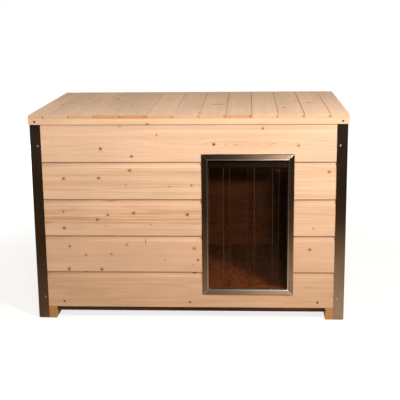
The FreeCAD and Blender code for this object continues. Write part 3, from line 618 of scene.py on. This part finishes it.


# The default tint is brownish grey: the steel's own grey with painted reflection of a warm room.
def ground_steel(name, along, colour="a18f7c", dark="8b7864", rough=(0.27, 0.34), drawn_out=0.8,
                 metal=1.0, lip_highlights=False):
    """Ground metal, with scratches along one axis that draw reflections out across themselves."""
    material, n = new_material(name)
    place = n("TexCoord")["Object"]
    size = [1 / SCRATCH_WIDTH] * 3
    size[along] = 1 / SCRATCH_LENGTH
    scratch = n("VectorMath", place, tuple(size), operation="MULTIPLY")[0]
    scratch = n("TexNoise", scratch, {"Scale": 1.0, "Detail": 3.0})[0]
    cloud = n("TexNoise", place, {"Scale": 7.0, "Detail": 3.0})[0]
    cloudy = n("MapRange", cloud, 0.35, 0.65, 0.0, 1.0)[0]
    tint = n("Mix", {0: cloudy, 6: colour, 7: dark}, **RGBA)[2]
    if lip_highlights:
        tint = n("Mix", {0: painted_highlight_lines(n, place), 6: tint, 7: LIP_PAINTED_HIGHLIGHT}, **RGBA)[2]
    low = n("MapRange", scratch, 0.3, 0.7, rough[0], rough[1])[0]
    crosswise = n("CombineXYZ", float(along != X), 0.0, float(along == X))[0]
    surface(n, {"Base Color": tint, "Metallic": metal, "Roughness": low,
                "Anisotropic": drawn_out, "Tangent": crosswise}, scratch, (0.05, 0.0001))
    return material


print("doorway", [round(2 * half, 4) for middle, half in DOORWAY], "m")

# %% [markdown]
# The same function makes every metal here, because they differ only in tint, roughness and the way they
# were ground. The door frame's uprights are ground along their length and its rails across the picture, as
# sheet is cut. The rail above the doorway faces the dark of the room, so it gets a darker tint: painted
# shade on the same steel. The frame also carries painted highlights along its fold beside the opening and
# on its mitred corners.

# %% Metal finishes
# Ground stainless: a grey mirror tinted brownish as painted reflection of a warm room, drawn out, dark
# above and light below.
angle_steel = ground_steel("ground_stainless_upright", Z)
stile_steel = ground_steel("ground_stainless_stile", Z, lip_highlights=True)
rail_steel = ground_steel("ground_stainless_rail", X, drawn_out=1.0, lip_highlights=True)
# The head rail's darker tint is painted shade for the dark room that it faces.
head_steel_painted_shade = ground_steel("ground_stainless_head_painted_shade", X, "7f7060", "6c5c4c", drawn_out=1.0, lip_highlights=True)

# Zinc-plated fittings: light, cloudy and only half a mirror, because the plating is dull.
fitting_steel = ground_steel("zinc_plated_fittings", X, "b3b0ab", "8f8b85", (0.40, 0.55), 0.3, 0.6)
screw_steel = ground_steel("zinc_plated_screws", Z, "c4c2be", "a5a29c", (0.2, 0.35), 0.0)

# Bar and its screws: almost black, darker than any other metal here, so the curtain seems to hang from
# nothing.
near_black_bar = ground_steel("near_black_bar_metal", X, "2e2118", "231810", (0.35, 0.45))

metals = {"corner_angle_front_left": angle_steel, "corner_angle_front_right": angle_steel,
          "corner_angle_rear_left": angle_steel, "corner_angle_rear_right": angle_steel,
          "door_frame_left": stile_steel, "door_frame_right": stile_steel,
          "door_frame_bottom": rail_steel, "door_frame_top": head_steel_painted_shade,
          "curtain_clamp_bar": near_black_bar, "curtain_rail": near_black_bar, "curtain_screws": near_black_bar,
          "hinge_wall_leaves": fitting_steel, "hinge_lid_leaves": fitting_steel,
          "hinge_pins": fitting_steel, "door_frame_screws": screw_steel}
for name, material in metals.items():
    dress(name, material)
print("metal nodes", len(metals))

# %% [markdown]
# ## Screws
# Every screw has the same parts: a head, a cross recess for the driver and a shank, and each stops at
# its own angle when it is driven home. Geometry Nodes suit that: one small head is built from a cone,
# two crossed bars are cut out of it, and it is placed on a point for each screw and turned at random.

# %% The screw tree
HEAD_SIDES, SHANK_SIDES = 20, 12
RECESS_LENGTH, RECESS_WIDTH = 1.25, 0.30      # shares of the head's top radius
SCREW_SIZES = (("Points", "Geometry"), ("Top Radius", "Float"), ("Bottom Radius", "Float"),
               ("Head Height", "Float"), ("Head Base", "Float"), ("Shank Radius", "Float"),
               ("Shank Length", "Float"), ("Seed", "Int"), ("Finish", "Material"))


def screw_tree():
    """A tree that puts a cross-headed screw on each point, along the point's outward direction."""
    tree = bpy.data.node_groups.new("cross_headed_screws", "GeometryNodeTree")
    for name, kind in SCREW_SIZES:
        tree.interface.new_socket(name, in_out="INPUT", socket_type="NodeSocket" + kind)
    tree.interface.new_socket("Screws", in_out="OUTPUT", socket_type="NodeSocketGeometry")
    n = partial(add, tree)
    given = n("NodeGroupInput")
    head = n("GeometryNodeMeshCone", {"Vertices": HEAD_SIDES, "Radius Top": given["Top Radius"],
                                      "Radius Bottom": given["Bottom Radius"],
                                      "Depth": given["Head Height"]})[0]
    base = n("CombineXYZ", 0.0, 0.0, given["Head Base"])[0]
    head = n("GeometryNodeTransform", head, {"Translation": base})[0]
    top = n("Math", given["Head Base"], given["Head Height"], operation="ADD")[0]
    top = n("CombineXYZ", 0.0, 0.0, top)[0]
    long = n("Math", given["Top Radius"], RECESS_LENGTH, operation="MULTIPLY")[0]
    wide = n("Math", given["Top Radius"], RECESS_WIDTH, operation="MULTIPLY")[0]
    for size in ((long, wide), (wide, long)):
        bar = n("GeometryNodeMeshCube", n("CombineXYZ", *size, given["Head Height"])[0])[0]
        bar = n("GeometryNodeTransform", bar, {"Translation": top})[0]
        head = n("GeometryNodeMeshBoolean", {"Mesh 1": head, "Mesh 2": bar},
                 operation="DIFFERENCE")[0]
    shank = n("GeometryNodeMeshCylinder", {"Vertices": SHANK_SIDES, "Radius": given["Shank Radius"],
                                           "Depth": given["Shank Length"]})[0]
    middle = n("Math", given["Shank Length"], -0.5, given["Head Base"], operation="MULTIPLY_ADD")[0]
    middle = n("CombineXYZ", 0.0, 0.0, middle)[0]
    shank = n("GeometryNodeTransform", shank, {"Translation": middle})[0]
    joined = tree.nodes.new("GeometryNodeJoinGeometry")
    for part in (head, shank):
        tree.links.new(part, joined.inputs[0])
    outward = n("GeometryNodeInputNamedAttribute", {"Name": "outward"},
                data_type="FLOAT_VECTOR")["Attribute"]
    turn = n("FunctionNodeAlignRotationToVector", {"Vector": outward}, axis="Z")[0]
    placed = n("GeometryNodeInstanceOnPoints", given["Points"],
               {"Instance": joined.outputs[0], "Rotation": turn})[0]
    spin = n("FunctionNodeRandomValue", {"Max": math.tau, "Seed": given["Seed"]},
             data_type="FLOAT")
    spin = n("CombineXYZ", 0.0, 0.0, [out for out in spin if out.enabled][0])[0]
    placed = n("GeometryNodeRotateInstances", placed, {"Rotation": spin})[0]
    made = n("GeometryNodeRealizeInstances", placed)[0]
    n("NodeGroupOutput", n("GeometryNodeSetMaterial", made, {"Material": given["Finish"]})[0])
    return tree


SCREWS = screw_tree()
print("screw tree", len(SCREWS.nodes), "nodes")

# %% [markdown]
# The points come from the drawn screws, so that a new screw sits where its hole is. A node holds
# several screws as loose parts: walking along the edges from one vertex finds all of one screw, and
# its wide end is the head. The places are sorted, because the walk may start at any vertex, and the
# random turns would then go to other screws in each run.

# %% Places of the drawn screws
WELD = 0.00002


def loose_parts(mesh):
    """The points of each part of a mesh that no edge joins to the rest."""
    waiting, parts = set(mesh.verts), []
    while waiting:
        group, front = [], [waiting.pop()]
        while front:
            vert = front.pop()
            group.append(vert.co.copy())
            others = (edge.other_vert(vert) for edge in vert.link_edges)
            fresh = [other for other in others if other in waiting]
            waiting.difference_update(fresh)
            front.extend(fresh)
        parts.append(group)
    return parts


def screw_places(name):
    """The head's outermost middle, the outward direction and the length of each screw in a node."""
    mesh = bmesh.new()
    mesh.from_mesh(nodes[name].data)
    bmesh.ops.remove_doubles(mesh, verts=mesh.verts, dist=WELD)
    places = []
    for group in loose_parts(mesh):
        low = Vector(min(co[i] for co in group) for i in range(3))
        high = Vector(max(co[i] for co in group) for i in range(3))
        middle, size = (low + high) / 2, high - low
        axis = max(range(3), key=lambda i: size[i])
        widest = max(group, key=lambda co: (co - middle).length - abs(co[axis] - middle[axis]) * 0.5)
        sign = 1 if widest[axis] > middle[axis] else -1
        outward = Vector((0, 0, 0))
        outward[axis] = sign
        middle[axis] = high[axis] if sign > 0 else low[axis]
        places.append((middle, outward, size[axis]))
    mesh.free()
    return sorted(places, key=lambda place: [round(c, 4) for c in place[0]])


print("angle screws found", len(screw_places("corner_angle_screws")))

# %% [markdown]
# Each set of screws is driven by one call: a mesh of bare points carries the outward directions, the
# tree turns it into screws, and the result is kept as a plain mesh on the right body. A raised head
# is wide at its base, and a countersunk one at its top.

# %% Drive the screws
RAISED_TOP, SUNK_BOTTOM = 0.66, 0.5           # the narrow end of a head, as a share of the wide one


def drive_screws(names, piece, body, head_radius, head_height, raised, shank_radius, finish, seed):
    """New screws in place of the drawn ones, as one plain mesh that rides on a body."""
    places = [place for name in names for place in screw_places(name)]
    points = bpy.data.meshes.new(piece + "_points")
    points.from_pydata([place[0] for place in places], [], [])
    outward = points.attributes.new("outward", "FLOAT_VECTOR", "POINT")
    outward.data.foreach_set("vector", [c for place in places for c in place[1]])
    maker = put(piece + "_maker", points)
    modifier = maker.modifiers.new("screws", "NODES")
    modifier.node_group = SCREWS
    values = {"Top Radius": head_radius * (RAISED_TOP if raised else 1.0),
              "Bottom Radius": head_radius * (1.0 if raised else SUNK_BOTTOM),
              "Head Height": head_height, "Head Base": -head_height,
              "Shank Radius": shank_radius,
              "Shank Length": min(place[2] for place in places) - head_height,
              "Seed": seed, "Finish": finish}
    for item in SCREWS.interface.items_tree:
        if item.name in values:
            modifier[item.identifier] = values[item.name]
    bpy.context.view_layer.update()
    ready = maker.evaluated_get(bpy.context.evaluated_depsgraph_get())
    mesh = bpy.data.meshes.new_from_object(ready)
    bpy.data.objects.remove(maker)
    made = put(piece, mesh)
    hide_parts(*names)
    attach(made, body)
    print(piece, len(places), "screws,", len(mesh.polygons), "faces")


# Stainless screws: bright and soft. Yellow passivated screws: dull brown, so they nearly vanish in
# the wood.
bright_screw = ground_steel("cold_formed_stainless_screws", Z, "cbc6be", "b4aea4", (0.40, 0.50), 0.0)
dark_screw = ground_steel("yellow_passivated_screws", Z, "6f5640", "59432f", (0.35, 0.5), 0.0)
RAISED = (0.0042, 0.0022, True, 0.0020)       # head radius and height, raised, shank radius
SUNK = (0.0038, 0.0020, False, 0.0018)
drive_screws(["corner_angle_screws"], "angle_screws", "house", *RAISED, bright_screw, 3)
drive_screws(["board_screws"], "countersunk_board_screws", "house", *SUNK, dark_screw, 5)
drive_screws(["lid_screws"], "countersunk_lid_screws", "lid", *SUNK, dark_screw, 7)
drive_screws(["hinge_wall_screws"], "wall_leaf_screws", "house", *SUNK, screw_steel, 9)
drive_screws(["hinge_lid_screws"], "lid_leaf_screws", "lid", *SUNK, screw_steel, 11)

# %% [markdown]
# ## Film-faced plywood
# The cabin and the door reveal are lined with plywood that carries a hard brown resin film, a little
# glossy and easy to wash. Its cut edges show the veneers. One function does both: it looks at which
# way a face points, and gives the film to broad faces and the plies to the edges.

# %% Plywood
# Brown filmed birch plywood: to the eye dark, reddish and smooth, with darker waves of veneer under
# the film and worn dark flecks.
VENEER = {X: (0.04, 0.22, 0.018), Y: (0.22, 0.04, 0.018), Z: (0.22, 0.018, 0.04)}
PLY = 0.0028                  # two veneers of 1.4 mm, one light and one dark
PLY_STOPS = [(0.0, "b98a5c"), (0.48, "a87748"), (0.52, "8a5a32"), (1.0, "94643a")]
WAVE_TONE, FLECK_TONE = "4a210a", "2c1206"


def film_plywood(name, thickness_axis, film_colours=("743c14", "8a481a"), fleck=0.4):
    """Filmed plywood; faces across thickness_axis have the film and others show plies."""
    material, n = new_material(name)
    place = n("TexCoord")
    facing = n("SeparateXYZ", place["Normal"])[thickness_axis]
    facing = n("Math", facing, operation="ABSOLUTE")[0]
    cloud = n("TexNoise", place["Object"], {"Scale": 5.0, "Detail": 5.0})[0]
    speck = n("TexNoise", place["Object"], {"Scale": 90.0, "Detail": 3.0})[0]
    veneer = stretched_noise(n, place["Object"], VENEER[thickness_axis], 3.0, 0.9)
    cloudy = n("MapRange", cloud, 0.35, 0.65, 0.0, 1.0)[0]
    waves = n("MapRange", veneer, 0.50, 0.62, 0.0, 0.35)[0]
    flecks = n("MapRange", speck, 0.48, 0.61, 0.0, fleck)[0]
    film = n("Mix", {0: cloudy, 6: film_colours[0], 7: film_colours[1]}, **RGBA)[2]
    film = n("Mix", {0: waves, 6: film, 7: WAVE_TONE}, **RGBA)[2]
    film = n("Mix", {0: flecks, 6: film, 7: FLECK_TONE}, **RGBA)[2]
    plies = n("SeparateXYZ", place["Object"])[thickness_axis]
    plies = n("Math", plies, 1 / PLY, operation="MULTIPLY")[0]
    plies = n("Math", plies, operation="FRACT")[0]
    ply = n("ValToRGB", plies, stops=PLY_STOPS)[0]
    broad = n("Math", facing, 0.7, operation="GREATER_THAN")[0]
    colour = n("Mix", {0: broad, 6: ply, 7: film}, **RGBA)[2]
    rough = n("MapRange", speck, 0.3, 0.7, 0.34, 0.5)[0]
    surface(n, {"Base Color": colour, "Roughness": rough}, speck, (0.1, 0.0002))
    return material


film_x, film_y, film_z = (film_plywood("film_faced_plywood_%s" % "xyz"[axis], axis)
                          for axis in (X, Y, Z))
# The floor's film is worn by use: lighter and redder, with strong flecks.
film_floor = film_plywood("film_faced_plywood_floor", Z, ("824620", "9e5830"), 0.80)
panels = {"floor_panel": film_floor, "door_sill": film_z, "door_head": film_z,
          "lid_lining": film_z, "door_jamb_left": film_x, "door_jamb_right": film_x,
          "lining_left": film_x, "lining_right": film_x, "lining_front": film_y,
          "lining_rear": film_y}
for name, material in panels.items():
    dress(name, material)
print("plywood panels", len(panels))

# %% [markdown]
# The slabs between boards and lining are white polystyrene foam, moulded from beads that swell until
# they touch. A cell pattern is just such a packing, so it gives both the faint grey joints and the
# small bumps. Beads could be modelled, but there would be very many of them.

# %% Foam
# Expanded polystyrene: white, matt and pebbled, with beads 4 mm across as in a real slab.
BEAD = 0.004
foam, n = new_material("expanded_polystyrene_foam")
beads = n("TexVoronoi", n("TexCoord")["Object"], {"Scale": 1 / BEAD})
joints = n("MapRange", beads["Distance"], 0.2, 0.7, 0.0, 0.3)[0]
white = n("Mix", {0: joints, 6: "f4f4f0", 7: "c8c8c2"}, **RGBA)[2]
surface(n, {"Base Color": white, "Roughness": 0.85}, beads["Distance"], (0.4, 0.0008))
for name in ("foam_insulation", "lid_insulation"):
    dress(name, foam)
print("foam beads", BEAD * 1000, "mm")

# %% [markdown]
# ## The curtain of clear strips
# Four strips of clear soft PVC, 2 mm thick, hang from a clamp bar and overlap each other. Such a
# strip is seen by its reflections and by its edges, where light passes through more of it. A glass
# shader would bend what lies behind, which a thin sheet doesn't, so light goes straight through, and
# a Fresnel mix adds the reflection. The mix is kept to outer faces, because on inner ones it would
# count as total reflection and turn swung strips dark.

# %% Clear PVC
# Extruded soft PVC: smooth, clear and faintly warm, with a trace of haze.
clear, n = new_material("extruded_clear_pvc")
outside = n("Math", 1.0, n("NewGeometry")["Backfacing"], operation="SUBTRACT")[0]
mirror = n("Math", n("Fresnel", 1.28)[0], outside, operation="MULTIPLY")[0]
haze = n("TexNoise", n("TexCoord")["Object"], {"Scale": 16.0, "Detail": 4.0})[0]
haze = n("MapRange", haze, 0.45, 0.80, 0.0005, 0.005)[0]
see_through = n("BsdfTransparent", "f4efe8")[0]
milk = n("BsdfDiffuse", "b08a60")[0]
body = n("MixShader", haze, see_through, milk)[0]
gloss = n("BsdfGlossy", {"Color": "ead0ae", "Roughness": 0.07})[0]
n("OutputMaterial", n("MixShader", mirror, body, gloss)[0])

# The cut edges: the same PVC seen end on, so greyer and less clear.
pvc_edge, n = new_material("cut_clear_pvc_edge")
see_through = n("BsdfTransparent", "c8c4b8")[0]
milk = n("BsdfPrincipled", {"Base Color": "a89880", "Roughness": 0.30})[0]
n("OutputMaterial", n("MixShader", 0.13, see_through, milk)[0])
dress("curtain_clamped_edges", clear)
print("clear and edge finishes", clear.name, pvc_edge.name)

# %% [markdown]
# PVC strip comes off a roll, so it never hangs quite flat: it waves a little more towards its free
# end, and its long edges curl. The strips are modelled in mesh code, because each is one grid of
# points whose place follows a rule. All four share one wave, so they lie against each other. Curls
# go both ways by turns.

# %% Strips
STRIP_COLUMNS, STRIP_ROWS = 14, 30
WAVE_DEPTH, CURL_DEPTH = 0.0020, 0.0022
LONG_WAVE, SHORT_WAVE = 33, 71                # radians per metre: waves 190 and 88 mm long
EDGE_ROUND, EDGE_THIN = 0.0012, 0.45          # width of the rounded edge, and its thickness share


def strip_bow(x, hang):
    """How far the wave pushes a strip backward; hang is 0 at the clamp and 1 at the foot."""
    wave = math.sin(x * LONG_WAVE + 0.8) + 0.5 * math.sin(x * SHORT_WAVE + 5 * hang)
    return WAVE_DEPTH * hang ** 1.5 * wave


def strip_ring(mesh, low, high, hang, curl):
    """One level ring of points round a strip, its front from left to right and its back again."""
    middle, half = (low.y + high.y) / 2, (high.y - low.y) / 2
    z = high.z - half - (high.z - half - low.z) * hang
    front, back = [], []
    for column in range(STRIP_COLUMNS + 1):
        across = column / STRIP_COLUMNS
        x = low.x + (high.x - low.x) * across
        bow = strip_bow(x, hang) + curl * hang * (2 * across - 1) ** 4
        thin = half * (EDGE_THIN if column in (0, STRIP_COLUMNS) else 1.0)
        if column == 1:
            x = low.x + EDGE_ROUND
        elif column == STRIP_COLUMNS - 1:
            x = high.x - EDGE_ROUND
        front.append(mesh.verts.new((x, middle + bow - thin, z)))
        back.append(mesh.verts.new((x, middle + bow + thin, z)))
    return front + back[::-1]


def make_strip(index, curl):
    """One strip in place of the drawn one, curling by the given depth at its free corners."""
    low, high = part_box("curtain_strip_%d" % index)
    mesh = bmesh.new()
    rings = [strip_ring(mesh, low, high, row / STRIP_ROWS, curl) for row in range(STRIP_ROWS + 1)]
    for above, below in zip(rings, rings[1:]):
        for i in range(len(above)):
            j = (i + 1) % len(above)
            side = mesh.faces.new((above[i], below[i], below[j], above[j]))
            column = min(i, len(above) - 2 - i)
            at_edge = column <= 0 or column == STRIP_COLUMNS - 1 or i == STRIP_COLUMNS
            side.material_index = int(at_edge)
    mesh.faces.new(rings[0])
    mesh.faces.new(rings[-1][::-1])
    bmesh.ops.recalc_face_normals(mesh, faces=mesh.faces)
    data = bpy.data.meshes.new("clear_strip_%d" % index)
    mesh.to_mesh(data)
    mesh.free()
    data.materials.append(clear)
    data.materials.append(pvc_edge)
    data.shade_smooth()
    strip = put("clear_strip_%d" % index, data)
    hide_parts("curtain_strip_%d" % index)
    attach(strip, "strip_%d" % index)
    return strip


strips = [make_strip(index, CURL_DEPTH if index % 2 else -CURL_DEPTH) for index in (1, 2, 3, 4)]
print("strips", [len(strip.data.polygons) for strip in strips], "faces")

# %% [markdown]
# ## Planed edges
# No sawn or folded edge is sharp. The drawn nodes come as loose triangles, so they are welded, flat
# parts are joined again, and a narrow bevel of 0.3 to 1.2 mm rounds the rest. Modifiers do this, so
# the drawn meshes themselves stay as they are.

# %% Rounded edges
EDGES = (("lid_boards", 0.0003, 2), ("board", 0.0008, 2), ("skid", 0.0012, 2),
         ("lid_batten", 0.0012, 2), ("corner_angle", 0.0004, 2), ("door_frame", 0.0009, 3))


def round_edges(name, width, segments):
    """Weld a drawn node, join its flat parts and round its edges by this width."""
    node = nodes[name]
    weld = node.modifiers.new("weld", "WELD")
    weld.merge_threshold = 0.00001
    flat = node.modifiers.new("flat", "DECIMATE")
    flat.decimate_type = "DISSOLVE"
    flat.angle_limit = math.radians(0.5)
    bevel = node.modifiers.new("bevel", "BEVEL")
    bevel.width = width
    bevel.segments = segments
    bevel.limit_method = "ANGLE"
    bevel.angle_limit = math.radians(35)
    bevel.harden_normals = False


rounded = 0
for name in nodes:
    sizes = [size for part, *size in EDGES if part in name and "screws" not in name]
    if sizes:
        round_edges(name, *sizes[0])
        rounded += 1
print("rounded nodes", rounded)

# %% [markdown]
# ## Studio
# The house stands on a pale floor before a white backdrop. The white could come from strong lamps,
# but they would burn out the pale wood. So the floor and the world glow only for rays from the
# camera or a mirror, and leave the light on the house to the lamps. Near the house the floor glows
# less, so its shadow stays.

# %% Floor and backdrop
# Pale paper: a plain matt ground that turns to white away from the house.
FLOOR_HALF = 30
GLOW_FROM, GLOW_TO = 0.8, 2.2                 # metres from the origin
GLOW_NEAR = 0.79
AMBIENT = 0.10


def seen_directly(n):
    """1 for rays from the camera, a mirror or a clear strip, 0 for those that light things."""
    rays = n("LightPath")
    seen = n("Math", rays["Is Camera Ray"], rays["Is Glossy Ray"], operation="ADD")[0]
    return n("Math", seen, rays["Is Transmission Ray"], operation="ADD", use_clamp=True)[0]


floor_mesh = bpy.data.meshes.new("floor")
floor_corners = [(x * FLOOR_HALF, y * FLOOR_HALF, 0) for x, y in ((-1, -1), (1, -1), (1, 1), (-1, 1))]
floor_mesh.from_pydata(floor_corners, [], [(0, 1, 2, 3)])
floor = put("floor", floor_mesh)
pale, n = new_material("pale_floor")
seen = seen_directly(n)
away = n("VectorMath", n("TexCoord")["Object"], operation="LENGTH")[1]
glow = n("MapRange", away, GLOW_FROM, GLOW_TO, GLOW_NEAR, 1.0, interpolation_type="SMOOTHSTEP")[0]
paper = n("BsdfDiffuse", "9a958e")[0]
white = n("Emission", (1, 1, 1, 1), n("Math", glow, seen, operation="MULTIPLY")[0])[0]
n("OutputMaterial", n("AddShader", paper, white)[0])
floor_mesh.materials.append(pale)

world = bpy.data.worlds.new("studio")
bpy.context.scene.world = world
world.use_nodes = True
world.node_tree.nodes.clear()
n = partial(add, world.node_tree)
strength = n("MapRange", seen_directly(n), 0.0, 1.0, AMBIENT, 1.0)[0]
n("OutputWorld", n("Background", (1, 1, 1, 1), strength)[0])
print("floor", 2 * FLOOR_HALF, "m wide, ambient light", AMBIENT)

# %% [markdown]
# Steel shows the room, so the room is there too: dark walls and ceiling, and a pool of light on the
# floor right of the house, which gives the steel its bright lower ends. The drapes are a plain box
# that is seen only in reflections. They light nothing, and the camera never sees them.

# %% Dark drapes
DRAPE_X, DRAPE_Y, DRAPE_Z = (-4.0, 4.0), (-5.5, 3.0), (0.0005, 4.0)
POOL_MIDDLE, POOL_REACH = (0.7, -0.1, 0.0), 6.0
POOL_STOPS = [(0.067, "fdead4"), (0.165, "d0b89f"), (0.225, "7d6853"), (0.30, "53442f"),
              (0.47, "332c22"), (0.85, "4c4036")]
drapes, n = new_material("dark_drapes")
pool = n("VectorMath", n("TexCoord")["Object"], POOL_MIDDLE, operation="DISTANCE")["Value"]
pool = n("Math", pool, POOL_REACH, operation="DIVIDE")[0]
n("OutputMaterial", n("Emission", n("ValToRGB", pool, stops=POOL_STOPS)[0], 1.0)[0])
drape_corners = [(DRAPE_X[i], DRAPE_Y[j], z) for z in DRAPE_Z for i, j in ((0, 0), (1, 0), (1, 1), (0, 1))]
drape_sides = [(0, 1, 2, 3), (4, 7, 6, 5), (0, 4, 5, 1), (1, 5, 6, 2), (2, 6, 7, 3), (3, 7, 4, 0)]
room = bpy.data.meshes.new("drapes")
room.from_pydata(drape_corners, [], drape_sides)
drape = put("drapes", room)
room.materials.append(drapes)
for ray in ("visible_camera", "visible_diffuse", "visible_shadow", "visible_transmission"):
    setattr(drape, ray, False)
print("drapes", len(drape_sides), "sides, lit pool at", POOL_MIDDLE)

# %% [markdown]
# A key lamp stands high on the right and a fill beside the camera lights the front and reaches into
# the doorway. A weak one lights the lid from the left, and one behind keeps the rear from going
# black in other views. Area lamps give soft shadows, the softer the larger they are.

# %% Lamps
LAMP_COLOUR = "fff8f6"


def soft_lamp(name, target, azimuth, elevation, distance, size, watts):
    """An area lamp that looks at target from an angle to the right of straight ahead."""
    lamp = put(name, bpy.data.lights.new(name, "AREA"))
    turn, rise = math.radians(azimuth), math.radians(elevation)
    back = Vector((math.sin(turn) * math.cos(rise), -math.cos(turn) * math.cos(rise), math.sin(rise)))
    lamp.location = Vector(target) + back * distance
    lamp.rotation_mode = "QUATERNION"
    lamp.rotation_quaternion = (-back).to_track_quat("-Z", "Y")
    lamp.data.shape = "RECTANGLE"
    lamp.data.size, lamp.data.size_y = size
    lamp.data.energy = watts
    lamp.data.color = linear(LAMP_COLOUR)[:3]
    return lamp


soft_lamp("key", (0.1, -0.36, 0.50), 36.5, 42, 2.3, (0.28, 0.28), 53)
soft_lamp("top", (-0.3, -0.1, 0.70), -25.0, 62, 1.9, (0.9, 0.9), 7)
soft_lamp("fill", (0.2, -0.36, 0.45), 6.8, 18, 3.6, (0.42, 0.16), 42)
rear = soft_lamp("rear", (0.0, 0.35, 0.40), 205.0, 10, 3.4, (1.4, 1.4), 80)
rear.visible_glossy = False
print("lamps", [lamp.name for lamp in bpy.data.lights])
